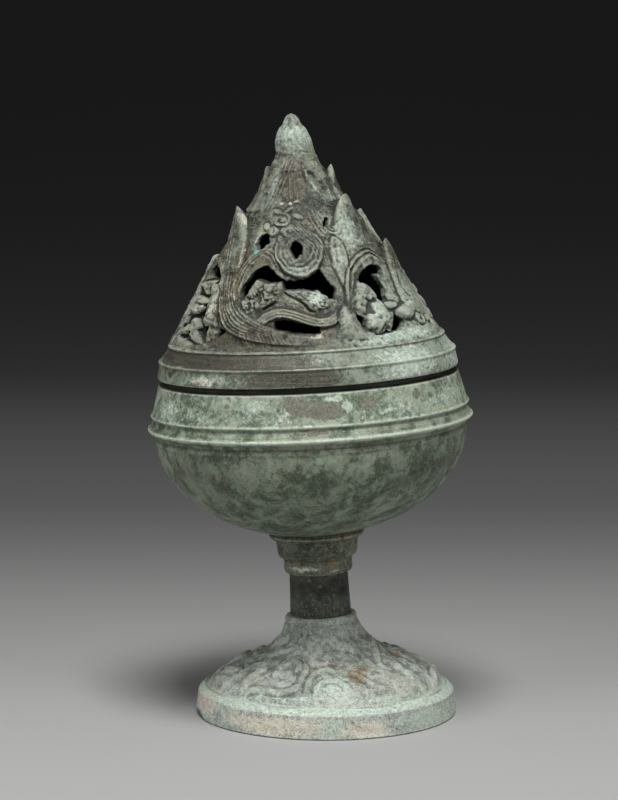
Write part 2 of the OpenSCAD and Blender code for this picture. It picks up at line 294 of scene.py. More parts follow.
def stains_at(az: Array, z: Array, patches: tuple[Patch, ...]) -> Array:
    """Weights of the six stains: each oval fades as a bell, and the strongest of a kind counts.

    Args:
        az: Azimuths in degrees.
        z: Heights in mm.
        patches: Ovals to lay.

    Returns:
        Weights with the six kinds along the last axis.
    """
    weights = np.zeros(np.broadcast(az, z).shape + (len(Stain),))
    for patch in patches:
        far = (turn_between(az, patch.az) / patch.half_az) ** 2 + ((z - patch.z) / patch.half_z) ** 2
        layer = weights[..., patch.kind.value]
        np.maximum(layer, patch.strength * np.exp(-far), out=layer)
    return weights


def srgb(red: int, green: int, blue: int) -> tuple[float, float, float, float]:
    """Linear colour of an sRGB one written from 0 to 255."""
    c = np.array([red, green, blue]) / 255.0
    line = np.where(c <= 0.04045, c / 12.92, ((c + 0.055) / 1.055) ** 2.4)
    return (float(line[0]), float(line[1]), float(line[2]), 1.0)


MIX_COLOUR_INPUTS = (0, 6, 7)
MIX_COLOUR_OUTPUT = 2


class NodeSheet:
    """Lays shader nodes on one material and links them."""

    def __init__(self, name: str) -> None:
        """Starts a material with its shader and object coordinates."""
        self.material = bpy.data.materials.new(name)
        self.material.use_nodes = True
        self.tree = self.material.node_tree
        self.shader = self.tree.nodes["Principled BSDF"]
        self.coords = self.tree.nodes.new("ShaderNodeTexCoord").outputs["Object"]

    def link(self, source: object, socket: Socket) -> None:
        """Joins an output to a socket, or writes a plain value on it."""
        if isinstance(source, Socket):
            self.tree.links.new(source, socket)
        else:
            socket.default_value = source

    def noise(self, scale: float, detail: float = 5.0, rough: float = 0.55, twist: float = 0.0) -> Socket:
        """Fractal noise with a number of waves to the metre."""
        node = self.tree.nodes.new("ShaderNodeTexNoise")
        self.tree.links.new(self.coords, node.inputs["Vector"])
        values = {"Scale": scale, "Detail": detail, "Roughness": rough, "Distortion": twist}
        for socket, value in values.items():
            node.inputs[socket].default_value = value
        return node.outputs["Fac"]

    def streaks(self, scale: Triple, detail: float = 4.0) -> Socket:
        """Noise drawn out along one axis, with waves to the metre given for each axis."""
        mapping = self.tree.nodes.new("ShaderNodeMapping")
        self.tree.links.new(self.coords, mapping.inputs["Vector"])
        mapping.inputs["Scale"].default_value = scale
        node = self.tree.nodes.new("ShaderNodeTexNoise")
        self.tree.links.new(mapping.outputs["Vector"], node.inputs["Vector"])
        node.inputs["Scale"].default_value = 1.0
        node.inputs["Detail"].default_value = detail
        return node.outputs["Fac"]

    def depth(self) -> Socket:
        """Distance behind the object's middle, in metres."""
        split = self.tree.nodes.new("ShaderNodeSeparateXYZ")
        self.tree.links.new(self.coords, split.inputs["Vector"])
        return split.outputs["Y"]

    def painted(self, name: str) -> tuple[Socket, Socket, Socket]:
        """Three channels of a colour that is stored on the mesh."""
        node = self.tree.nodes.new("ShaderNodeAttribute")
        node.attribute_name = name
        split = self.tree.nodes.new("ShaderNodeSeparateColor")
        self.tree.links.new(node.outputs["Color"], split.inputs["Color"])
        return split.outputs["Red"], split.outputs["Green"], split.outputs["Blue"]

    def stored(self, name: str) -> Socket:
        """A number that is stored on the mesh."""
        node = self.tree.nodes.new("ShaderNodeAttribute")
        node.attribute_name = name
        return node.outputs["Fac"]

    def sum_of(self, *terms: tuple[object, float]) -> Socket:
        """Sum of sources, each times a weight."""
        total: object = 0.0
        for source, weight in terms:
            node = self.tree.nodes.new("ShaderNodeMath")
            node.operation = "MULTIPLY_ADD"
            self.link(source, node.inputs[0])
            node.inputs[1].default_value = weight
            self.link(total, node.inputs[2])
            total = node.outputs["Value"]
        return total

    def span(self, value: object, low: float, high: float, top: float = 1.0, bottom: float = 0.0) -> Socket:
        """Smooth step of a value from bottom at low to top at high."""
        node = self.tree.nodes.new("ShaderNodeMapRange")
        node.interpolation_type = "SMOOTHSTEP"
        self.link(value, node.inputs["Value"])
        ends = {"From Min": low, "From Max": high, "To Min": bottom, "To Max": top}
        for socket, number in ends.items():
            node.inputs[socket].default_value = number
        return node.outputs["Result"]

    def blend(self, share: object, under: object, over: object) -> Socket:
        """Colour that goes from one to the other by a share."""
        node = self.tree.nodes.new("ShaderNodeMix")
        node.data_type = "RGBA"
        share_in, under_in, over_in = (node.inputs[k] for k in MIX_COLOUR_INPUTS)
        self.link(share, share_in)
        self.link(under, under_in)
        self.link(over, over_in)
        return node.outputs[MIX_COLOUR_OUTPUT]

    def tones(self, share: object, pair: tuple[Colour, Colour]) -> Socket:
        """Colour that goes from the first of two tones to the second by a share."""
        return self.blend(share, srgb(*pair[0]), srgb(*pair[1]))

    def mixed(self, share: object, under: float, over: float) -> Socket:
        """Number that goes from one to the other by a share."""
        return self.span(share, 0.0, 1.0, over, under)

    def relief(self, height: object, strength: float, depth: float) -> None:
        """Bump on the shader, with its depth in metres."""
        node = self.tree.nodes.new("ShaderNodeBump")
        node.inputs["Strength"].default_value = strength
        node.inputs["Distance"].default_value = depth
        self.link(height, node.inputs["Height"])
        self.tree.links.new(node.outputs["Normal"], self.shader.inputs["Normal"])


class Tone:
    """Colours of corrosion, worn metal, painted shade and painted highlight, in sRGB from 0 to 255; pairs are
    a darker and a paler tone.
    """

    OCHRE = (122, 112, 90)
    FLAKES = ((54, 57, 46), (80, 84, 69))
    DRAWN = (126, 124, 112)
    CRUST = ((150, 164, 150), (202, 216, 203))
    RUST = ((92, 74, 46), (146, 112, 72))
    CREAM = ((184, 172, 154), (208, 206, 190))
    TURQUOISE = (104, 160, 150)
    PITS = (54, 56, 46)
    PALE_DUST = (196, 205, 192)
    DARK_DUST = (44, 46, 37)
    # pale of rubbed raised edges: partly worn metal, partly painted highlight
    RUBBED_AND_HIGHLIGHT = (190, 196, 178)
    # painted shade in hollows
    HOLLOW_SHADE = (40, 40, 33)
    # near black of the dark stain, mostly painted shade
    SOOT_AND_SHADE = (26, 25, 22)


@dataclass(frozen=True)
class Waves:
    """Noises and stored weights that the layers of a patina are made from.

    Args:
        clouds: Broad tones.
        mottle: Mottling of a few millimetres.
        flakes: Flaked spots.
        grain: Fine grain.
        dust: Finest grain.
        specks: Specks of a millimetre or two.
        lines: Fine level lines.
        stains: Weight of each stain, as the mesh stores it.
        hollow: Height over the neighbourhood, as the mesh stores it, which places painted shade and
            highlight.
    """

    clouds: Socket
    mottle: Socket
    flakes: Socket
    grain: Socket
    dust: Socket
    specks: Socket
    lines: Socket
    stains: dict[Stain, Socket]
    hollow: Socket

    @classmethod
    def on(cls, sheet: NodeSheet) -> "Waves":
        """Lays the noises on a sheet, by waves to the metre, and reads what the mesh stores."""
        return cls(
            clouds=sheet.noise(42.0, 5.0, 0.6),
            mottle=sheet.noise(150.0, 9.0, 0.66, 0.6),
            flakes=sheet.noise(205.0, 9.0, 0.62, 0.3),
            grain=sheet.noise(900.0, 6.0, 0.7),
            dust=sheet.noise(1900.0, 3.0, 0.8),
            specks=sheet.noise(520.0, 5.0, 0.72),
            lines=sheet.streaks((70.0, 70.0, 2600.0)),
            stains=dict(zip(Stain, sheet.painted("stain_a") + sheet.painted("stain_b_with_shade"))),
            hollow=sheet.stored("hollow"),
        )


@dataclass(frozen=True)
class Patina:
    """Corroded bronze: mottled green-grey with flakes, and crusts, metal, dark stain with painted shade, and
    rust where painted.

    Args:
        name: Name of the finish.
        deep: Darker tone of the mottling.
        pale: Paler tone of the mottling.
        crust: How readily pale mint crust covers the surface, from 0 to 1.
        bare: How readily brown metal shows, from 0 to 1.
        edge: How much raised edges are rubbed pale, partly as a painted highlight.
        rough: Roughness of the mottled surface.
        brushed: How much the bare metal is drawn out in fine level lines.
        hollow_shade: How dark the painted shade in the hollows is, from 0 to 1.
        flaked: How dark the flaked spots are, from 0 to 1.
        dusty: How strongly fine pale and dark grains show, from 0 to 1.
        fade: Width of the crust's edge, in its own weight.
        sheen: Specular level of the shader.
        metal: Darker and paler tone of the bare metal.
        bare_rough: Roughness of the bare metal.
        bare_metallic: Metallic share of the bare metal.
        relief: Strength of the bump.
        relief_depth: Depth of the bump in metres.
    """

    name: str
    deep: Colour
    pale: Colour
    crust: float = 0.0
    bare: float = 0.0
    edge: float = 0.5
    rough: float = 0.6
    brushed: float = 0.0
    hollow_shade: float = 0.8
    flaked: float = 0.8
    dusty: float = 0.3
    fade: float = 0.14
    sheen: float = 0.32
    metal: tuple[Colour, Colour] = ((64, 62, 51), (102, 98, 84))
    bare_rough: float = 0.4
    bare_metallic: float = 0.25
    relief: float = 0.6
    relief_depth: float = 0.0008

    def material(self) -> Material:
        """Builds the finish: mottled ground, bare metal, crusts, then worn marks with painted shade and
        highlight, each laid over the last.
        """
        sheet = NodeSheet(self.name)
        waves = Waves.on(sheet)
        colour, dark = self.ground(sheet, waves)
        colour, bare = self.bared(sheet, waves, colour)
        colour, crust = self.crusted(sheet, waves, colour)
        colour = self.spotted(sheet, waves, colour)
        colour = self.worn(sheet, waves, colour)
        sheet.link(colour, sheet.shader.inputs["Base Color"])
        sheet.link(sheet.mixed(bare, self.rough, self.bare_rough), sheet.shader.inputs["Roughness"])
        sheet.link(sheet.mixed(bare, 0.0, self.bare_metallic), sheet.shader.inputs["Metallic"])
        sheet.shader.inputs["Specular IOR Level"].default_value = self.sheen
        height = sheet.sum_of(
            (waves.mottle, 0.5), (waves.grain, 0.35), (waves.specks, 0.4),
            (crust, 0.15), (dark, -0.2), (bare, -0.25), (waves.dust, 0.3),
        )
        sheet.relief(height, self.relief, self.relief_depth)
        return sheet.material

    def ground(self, sheet: NodeSheet, waves: Waves) -> tuple[Socket, Socket]:
        """Mottled ground with ochre and dark flakes, and the share of the flakes."""
        tone = sheet.sum_of(
            (waves.clouds, 0.32), (waves.mottle, 0.55), (waves.specks, 0.28), (waves.grain, 0.1),
        )
        colour = sheet.tones(sheet.span(tone, 0.54, 0.7), (self.deep, self.pale))
        ochre = sheet.span(sheet.sum_of((waves.specks, 0.7), (waves.clouds, 0.5)), 0.62, 0.68, 0.5)
        colour = sheet.blend(ochre, colour, srgb(*Tone.OCHRE))
        dark_at = sheet.sum_of(
            (waves.flakes, 0.85), (waves.clouds, 0.25), (waves.specks, 0.2), (waves.stains[Stain.MINT], -0.12)
        )
        dark = sheet.span(dark_at, 0.705, 0.735, self.flaked)
        dark_tone = sheet.tones(sheet.span(waves.grain, 0.35, 0.65), Tone.FLAKES)
        return sheet.blend(dark, colour, dark_tone), dark

    def bared(self, sheet: NodeSheet, waves: Waves, under: Socket) -> tuple[Socket, Socket]:
        """Bare metal with its brushed lines over a colour, and the share of the metal."""
        metal = sheet.tones(sheet.span(waves.grain, 0.3, 0.7), self.metal)
        drawn = sheet.span(waves.lines, 0.45, 0.65, self.brushed)
        metal = sheet.blend(drawn, metal, srgb(*Tone.DRAWN))
        bare_at = sheet.sum_of((waves.stains[Stain.BROWN], 0.5), (waves.mottle, 0.85), (waves.specks, 0.2))
        bare = sheet.span(bare_at, 0.88 - self.bare * 0.3, 0.905 - self.bare * 0.3, 0.92)
        return sheet.blend(bare, under, metal), bare

    def crusted(self, sheet: NodeSheet, waves: Waves, under: Socket) -> tuple[Socket, Socket]:
        """Pale mint crust over a colour, and the share of the crust."""
        crust_at = sheet.sum_of(
            (waves.stains[Stain.MINT], 0.4), (waves.stains[Stain.BROWN], -0.1), (waves.mottle, -0.45),
            (waves.clouds, 0.3), (waves.specks, 0.3), (waves.grain, 0.25),
        )
        middle = 0.49 - self.crust * 0.25
        crust = sheet.span(crust_at, middle - 0.5 * self.fade, middle + 0.5 * self.fade, 0.9)
        pale_crust = sheet.tones(sheet.span(waves.grain, 0.35, 0.7), Tone.CRUST)
        return sheet.blend(crust, under, pale_crust), crust

    def spotted(self, sheet: NodeSheet, waves: Waves, colour: Socket) -> Socket:
        """Rust, cream and turquoise over a colour, where they are painted."""
        rust_at = sheet.sum_of(
            (waves.stains[Stain.RUST], 0.5), (waves.mottle, 0.6), (waves.specks, 0.3), (waves.grain, 0.2)
        )
        rust = sheet.span(rust_at, 0.86, 0.98, 0.8)
        colour = sheet.blend(rust, colour, sheet.tones(waves.grain, Tone.RUST))
        cream_at = sheet.sum_of(
            (waves.stains[Stain.CREAM], 0.45), (waves.specks, 0.5), (waves.grain, 0.4), (waves.dust, 0.3)
        )
        cream = sheet.span(cream_at, 0.88, 1.06, 0.9)
        colour = sheet.blend(cream, colour, sheet.tones(sheet.span(waves.specks, 0.4, 0.6), Tone.CREAM))
        blue_at = sheet.sum_of((waves.stains[Stain.TURQUOISE], 0.7), (waves.specks, 0.5))
        return sheet.blend(sheet.span(blue_at, 0.66, 0.84, 0.85), colour, srgb(*Tone.TURQUOISE))

    def worn(self, sheet: NodeSheet, waves: Waves, colour: Socket) -> Socket:
        """Pits, dust, rubbed edges with painted highlight, painted shade in hollows, and the dark stain,
        mostly painted shade, over a colour.
        """
        pits = sheet.span(sheet.sum_of((waves.specks, 0.8), (waves.grain, 0.5)), 0.5, 0.42, 0.6)
        colour = sheet.blend(pits, colour, srgb(*Tone.PITS))
        colour = sheet.blend(sheet.span(waves.dust, 0.51, 0.64, self.dusty), colour, srgb(*Tone.PALE_DUST))
        colour = sheet.blend(sheet.span(waves.dust, 0.47, 0.34, self.dusty), colour, srgb(*Tone.DARK_DUST))
        # rubbed pale on raised edges: partly worn metal, partly painted highlight
        rubbed_and_highlight_at = sheet.sum_of((waves.hollow, 1.0), (waves.specks, 1.1), (waves.mottle, 0.6))
        colour = sheet.blend(sheet.span(rubbed_and_highlight_at, 1.0, 1.6, self.edge), colour, srgb(*Tone.RUBBED_AND_HIGHLIGHT))
        # painted shade: hollows darkened by how far they lie under their neighbourhood
        hollow_shade_at = sheet.sum_of((waves.hollow, 1.0), (waves.specks, 0.35))
        colour = sheet.blend(sheet.span(hollow_shade_at, 0.1, -0.5, self.hollow_shade), colour, srgb(*Tone.HOLLOW_SHADE))
        # the dark stain: painted shade in hollows, gaps and insides, and dark patches
        return sheet.blend(waves.stains[Stain.SOOT_AND_SHADE], colour, srgb(*Tone.SOOT_AND_SHADE))


@dataclass(frozen=True)
class RustedIron:
    """Iron gone brown: two rusts mottled together, rough all over."""

    name: str = "rusted_iron"
    tones: tuple[Colour, Colour] = ((52, 42, 34), (116, 78, 48))
    rough: float = 0.82

    def material(self) -> Material:
        """Builds the finish from noise on object coordinates."""
        sheet = NodeSheet(self.name)
        mottle = sheet.noise(300.0, 6.0, 0.65)
        grain = sheet.noise(1500.0, 4.0)
        colour = sheet.tones(sheet.span(mottle, 0.38, 0.64), self.tones)
        sheet.link(colour, sheet.shader.inputs["Base Color"])
        sheet.shader.inputs["Roughness"].default_value = self.rough
        sheet.relief(sheet.sum_of((mottle, 0.6), (grain, 0.4)), 0.5, 0.0005)
        return sheet.material


@dataclass(frozen=True)
class StudioPaper:
    """Matt grey paper of the floor and the sweep behind it, which turns darker towards the back: painted
    shade of a studio whose light falls off into the dark.

    Args:
        name: Name of the finish.
        near: Tone under the object.
        middle: Tone behind it.
        far: Tone of the upright part.
        near_span: Distance behind the object, in metres, over which near turns to middle.
        far_span: The same for middle and far.
        rough: Roughness.
    """

    name: str = "studio_paper"
    near: Colour = (156, 156, 155)
    middle: Colour = (91, 91, 91)
    far: Colour = (8, 8, 8)
    near_span: tuple[float, float] = (-0.1, 0.5)
    far_span: tuple[float, float] = (0.5, 1.42)
    rough: float = 0.9

    def material(self) -> Material:
        """Builds the finish from three tones, blended by the distance behind the object."""
        sheet = NodeSheet(self.name)
        depth = sheet.depth()
        colour = sheet.tones(sheet.span(depth, *self.near_span), (self.near, self.middle))
        colour = sheet.blend(sheet.span(depth, *self.far_span), colour, srgb(*self.far))
        sheet.link(colour, sheet.shader.inputs["Base Color"])
        sheet.shader.inputs["Roughness"].default_value = self.rough
        return sheet.material


@dataclass
class Surface:
    """A worked-out closed surface, ready to become a piece.

    Args:
        points: Points in mm, one row each.
        quads: Four-sided faces.
        stains: Weights of the six stains at each point, the dark one mostly painted shade.
        hollow: Height over the neighbourhood at each point, negative in hollows.
        tris: Three-sided faces.
    """

    points: Array
    quads: Array
    stains: Array
    hollow: Array
    tris: Array = field(default_factory=lambda: np.zeros((0, 3), int))

    def facing_out(self) -> bool:
        """True where the faces look outwards, by the sign of the enclosed volume."""
        tris = np.vstack([self.tris, self.quads[:, [0, 1, 2]], self.quads[:, [0, 2, 3]]])
        a, b, c = (self.points[tris[:, k]] - self.points.mean(axis=0) for k in range(3))
        return float(np.einsum("ij,ij->i", a, np.cross(b, c)).sum()) > 0.0

    def mesh(self, name: str, sharp: float) -> bpy.types.Mesh:
        """Puts the surface into a mesh, in metres.

        Args:
            name: Name of the mesh.
            sharp: Angle in degrees past which an edge is shaded hard.

        Returns:
            The mesh, with its stains and hollows stored on its points.
        """
        step = 1 if self.facing_out() else -1
        quads, tris = self.quads[:, ::step], self.tris[:, ::step]
        corners = np.concatenate([quads.ravel(), tris.ravel()]).astype(np.int32)
        four, three = len(quads), len(tris)
        starts = np.concatenate([np.arange(four) * 4, four * 4 + np.arange(three) * 3]).astype(np.int32)
        mesh = bpy.data.meshes.new(name)
        mesh.vertices.add(len(self.points))
        mesh.vertices.foreach_set("co", (self.points * MM).astype(np.float32).ravel())
        mesh.loops.add(len(corners))
        mesh.loops.foreach_set("vertex_index", corners)
        mesh.polygons.add(four + three)
        mesh.polygons.foreach_set("loop_start", starts)
        mesh.update(calc_edges=True)
        mesh.validate()
        mesh.polygons.foreach_set("use_smooth", np.ones(len(mesh.polygons), bool))
        mesh.set_sharp_from_angle(angle=radians(sharp))
        one = np.ones((len(self.points), 1))
        for layer, part in (("stain_a", self.stains[:, :3]), ("stain_b_with_shade", self.stains[:, 3:])):
            stored = mesh.attributes.new(layer, "FLOAT_COLOR", "POINT")
            stored.data.foreach_set("color", np.hstack([part, one]).astype(np.float32).ravel())
        hollow = mesh.attributes.new("hollow", "FLOAT", "POINT")
        hollow.data.foreach_set("value", self.hollow.astype(np.float32))
        return mesh


def place(
    name: str,
    surface: Surface,
    body: Body,
    slot: str,
    finish: Material,
    nodes: tuple[str, ...],
    sharp: float = 42.0,
) -> bpy.types.Object:
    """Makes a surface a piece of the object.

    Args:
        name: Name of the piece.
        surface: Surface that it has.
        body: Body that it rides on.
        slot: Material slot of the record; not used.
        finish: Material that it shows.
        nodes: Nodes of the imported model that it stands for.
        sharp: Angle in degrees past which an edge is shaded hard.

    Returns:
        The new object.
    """
    piece = bpy.data.objects.new(name, surface.mesh(name, sharp))
    bpy.context.scene.collection.objects.link(piece)
    piece.data.materials.append(finish)
    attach(piece, body.value)
    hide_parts(*nodes)
    LOG.info("%s: %d faces", name, len(piece.data.polygons))
    return piece


@dataclass(frozen=True)
class Trail:
    """How the grid points near a drawn line lie from it.

    Args:
        at: Flat numbers of the grid points.
        off: Distance in mm, positive to the left of the line, or inside where it is closed.
        along: Share of the line's length at the nearest place.
    """

    at: Array
    off: Array
    along: Array


@dataclass(frozen=True)
class Peak:
    """One overlapping peak of the mountain, from foot to tip.

    Args:
        foot: Azimuth and height of its foot.
        tip: Azimuth and height of its tip, before its lift.
        half: Half width at the foot in mm.
        stand: Distance that its tip stands out in mm.
        lift: Distance that its tip is carried up in mm.
        lines: Raised lines along each edge.
        blunt: Power that shapes the flanks; less is rounder.
        base: Height of its face at the foot in mm.
    """

    foot: tuple[float, float]
    tip: tuple[float, float]
    half: float
    stand: float
    lift: float
    lines: int = 2
    blunt: float = 0.9
    base: float = 0.5


class Relief:
    """Heights drawn on a turned wall, unrolled: across is radius times azimuth, up is length of slope."""

    NO_GAP = -9.0

    def __init__(self, az: Array, r: Array, z: Array) -> None:
        """Starts a flat sheet.

        Args:
            az: Azimuth of each column, in degrees.
            r: Radius of each row.
            z: Rising height of each row.
        """
        self.row_z = z
        self.row_r = r
        self.row_s = np.concatenate([[0.0], np.cumsum(np.hypot(np.diff(r), np.diff(z)))])
        self.az = np.broadcast_to(az, (len(z), len(az)))
        self.z = np.broadcast_to(z[:, None], self.az.shape)
        self.s = np.broadcast_to(self.row_s[:, None], self.az.shape)
        self.per_degree = np.broadcast_to((r * np.pi / 180.0)[:, None], self.az.shape)
        self.place = polar(np.broadcast_to(r[:, None], self.az.shape), self.az, self.z)
        self.worn = 0.85 + 0.55 * self.noise(3.4) + 0.25 * self.noise(1.3)
        self.out = np.zeros(self.az.shape)
        self.up = np.zeros(self.az.shape)
        self.gap = np.full(self.az.shape, self.NO_GAP)

    def noise(self, pitch: float) -> Array:
        """Casting noise at every grid point, at a lattice spacing in mm."""
        return NOISE.at(self.place, pitch)

    def plane(self, az: Array, z: Array, middle: float) -> tuple[Array, Array]:
        """Unrolled place of points given by azimuth and height, across from a middle azimuth."""
        across = turn_between(az, middle) * np.interp(z, self.row_z, self.row_r) * np.pi / 180.0
        return across, np.interp(z, self.row_z, self.row_s)

    def across(self, middle: float) -> Array:
        """Unrolled distance of every grid point from a middle azimuth."""
        return turn_between(self.az, middle) * self.per_degree

    def from_point(self, az: float, z: float) -> tuple[Array, Array]:
        """Unrolled distances of every grid point, across and up, from a point by azimuth and height."""
        return self.across(az), self.s - np.interp(z, self.row_z, self.row_s)

    def cover(self, height: Array, where: Array) -> None:
        """Raises the sheet to at least a height, where a mask is true."""
        self.out = np.where(where, np.maximum(self.out, height), self.out)

    def raise_to(self, at: Array, height: Array, where: Array) -> None:
        """Raises some grid points, by their flat numbers, to at least a height where a mask is true."""
        held = self.out.flat[at]
        self.out.flat[at] = np.where(where, np.maximum(held, height), held)

    def trail(self, points: Points, reach: float, closed: bool = False) -> Trail:
        """Measures the grid points near a smooth line through points.

        Args:
            points: Azimuth and height of each point.
            reach: Distance in mm that is measured on each side.
            closed: True for an outline, whose inside counts as positive.

        Returns:
            The measured points: the distance is to the nearest piece of the line, with the side as sign.
        """
        line = spline(points, closed)
        middle = float(line[:, 0].mean())
        px, py = self.plane(line[:, 0], line[:, 1], middle)
        x, y = self.across(middle), self.s
        near = (x > px.min() - reach) & (x < px.max() + reach)
        near &= (y > py.min() - reach) & (y < py.max() + reach)
        at = np.flatnonzero(near)
        x, y = x.flat[at].astype(np.float32)[:, None], y.flat[at].astype(np.float32)[:, None]
        px, py = px.astype(np.float32), py.astype(np.float32)
        ax, ay, dx, dy = px[:-1], py[:-1], np.diff(px), np.diff(py)
        length = np.maximum(dx * dx + dy * dy, TINY)
        t = np.clip(((x - ax) * dx + (y - ay) * dy) / length, 0.0, 1.0)
        far = (x - ax - t * dx) ** 2 + (y - ay - t * dy) ** 2
        best = np.argmin(far, axis=1)
        row = np.arange(len(at))
        distance = np.sqrt(far[row, best])
        if closed:
            by = ay + dy
            crosses = (ay > y) != (by > y)
            cut = ax + (y - ay) * dx / np.where(np.abs(dy) < TINY, TINY, dy)
            inside = (np.sum(crosses & (x < cut), axis=1) % 2) == 1
            side = np.where(inside, 1.0, -1.0)
        else:
            turn = dx[best] * (y[:, 0] - ay[best]) - dy[best] * (x[:, 0] - ax[best])
            side = np.where(turn >= 0.0, 1.0, -1.0)
        run = np.concatenate([[0.0], np.cumsum(np.sqrt(length))])
        along = (run[best] + t[row, best] * np.sqrt(length)[best]) / run[-1]
        return Trail(at, side * distance, along)

    def ridges(
        self, points: Points, offsets: tuple[float, ...], width: float, height: float, ends: float = 0.08
    ) -> None:
        """Adds worn ridges beside a line; each is the bell exp(-(d / width)^2) of the distance d from it.

        Args:
            points: Azimuth and height of points on the line.
            offsets: Distance of each ridge from the line, positive to its left.
            width: Half width of a ridge in mm.
            height: Height of a ridge in mm, negative for a groove.
            ends: Share of the line over which the ridges rise at each end.
        """
        trail = self.trail(points, max(abs(o) for o in offsets) + width * 3)
        fade = smooth(0.0, ends, trail.along) * smooth(0.0, ends, 1.0 - trail.along)
        fade = fade * self.worn.flat[trail.at]
        for offset in offsets:
            self.out.flat[trail.at] += height * fade * np.exp(-(((trail.off - offset) / width) ** 2))

    def plateau(self, points: Points, height: float, edge: float, least: bool = True) -> None:
        """Raises the inside of an outline to a height, with a rounded edge.

        Args:
            points: Azimuth and height of points on the outline.
            height: Height in mm.
            edge: Width of the edge in mm.
            least: True to leave what is already higher, False to add.
        """
        trail = self.trail(points, edge * 2, closed=True)
        start = -edge * 0.3
        step = height * smooth(start, edge, trail.off)
        if least:
            self.raise_to(trail.at, step, trail.off > start)
        else:
            self.out.flat[trail.at] += step

    def blob(self, az: float, z: float, wide: float, tall: float, height: float, turn: float = 0.0) -> None:
        """Raises an oval swelling, the half ellipsoid height * sqrt(1 - x^2 - y^2).

        Args:
            az: Azimuth of its middle.
            z: Height of its middle.
            wide: Half width in mm.
            tall: Half length in mm.
            height: Height in mm.
            turn: Degrees that its length leans to the left.
        """
        x, y = self.from_point(az, z)
        c, s = np.cos(np.radians(turn)), np.sin(np.radians(turn))
        far = ((x * c + y * s) / wide) ** 2 + ((y * c - x * s) / tall) ** 2
        self.cover(height * np.sqrt(np.clip(1.0 - far, 0.0, None)), far < 1.0)

    def roughen(self, points: Points, height: float) -> None:
        """Adds worn grain inside an outline: two casting noises, which fade in from its edge.

        Args:
            points: Azimuth and height of points on the outline.
            height: Height of the grain in mm.
        """
        trail = self.trail(points, 1.0, closed=True)
        grain = 0.6 * self.noise(1.9) + 0.5 * self.noise(0.9)
        self.out.flat[trail.at] += height * smooth(-0.4, 0.8, trail.off) * grain.flat[trail.at]

    def opening(self, points: Points, reach: float = 6.0) -> None:
        """Marks an opening through the wall, by its outline, measured for a reach round it in mm."""
        trail = self.trail(points, reach, closed=True)
        self.gap.flat[trail.at] = np.maximum(self.gap.flat[trail.at], trail.off)

    def leaf(self, peak: Peak) -> None:
        """Lays a peak over the wall as a pointed leaf of rock, with raised lines that follow its edges.

        Its half width falls as half * (1 - s^1.8)^blunt with the share s of its length. Its middle rises from
        the foot by stand * s^1.6 and falls to its edges as a rounded spur. Its tip is also carried up the
        wall by lift, so that it stands free.

        Args:
            peak: Peak to lay.
        """
        foot, tip = peak.foot, peak.tip
        middle = 0.5 * (foot[0] + tip[0])
        fx, fy = self.plane(np.array(foot[0]), np.array(foot[1]), middle)
        tx, ty = self.plane(np.array(tip[0]), np.array(tip[1]), middle)
        length = float(np.hypot(tx - fx, ty - fy))
        ex, ey = (tx - fx) / length, (ty - fy) / length
        x, y = self.across(middle) - fx, self.s - fy
        s = (x * ex + y * ey) / length
        q = y * ex - x * ey
        width = peak.half * np.clip(1.0 - np.clip(s, 0.0, 1.0) ** 1.8, 0.0, None) ** peak.blunt
        inside = np.where(s > 1.0, -(s - 1.0) * length, (width - np.abs(q)) * 0.85)
        body = smooth(-0.35, 0.6, inside) * smooth(-0.12, 0.1, s)
        rise = np.clip(s, 0.0, 1.0)
        crown = np.sqrt(np.clip(1.0 - (q / np.maximum(width, 0.05)) ** 2, 0.0, 1.0))
        face = peak.base + peak.stand * rise**1.6 * (0.35 + 0.65 * crown) + 0.7 * crown * (1.0 - rise)
        for number in range(peak.lines):
            mark = 0.75 + 1.15 * number
            face += 0.2 * np.exp(-(((inside - mark) / 0.36) ** 2)) * smooth(0.0, 0.2, s)
        laid = body * face
        carried = body * peak.lift * smooth(0.5, 1.0, rise) ** 1.5 * (0.3 + 0.7 * crown**peak.blunt)
        self.up = np.maximum(self.up, carried)
        self.out = np.where((body > 0.02) & (laid > self.out), laid, self.out)


BROAD_PITCH = 26.0
FINE_PITCH = 6.0
FINE_SHARE = 0.35
STANDING_Z = (0.05, 1.5)
# weights of relief and of the outline's bend in the stored hollow, which places painted highlight on edges
# and painted shade in hollows
RELIEF_WEAR_AND_SHADING = 2.2
BEND_WEAR_AND_SHADING = 4.0
BEND_RANGE = (-0.3, 0.55)


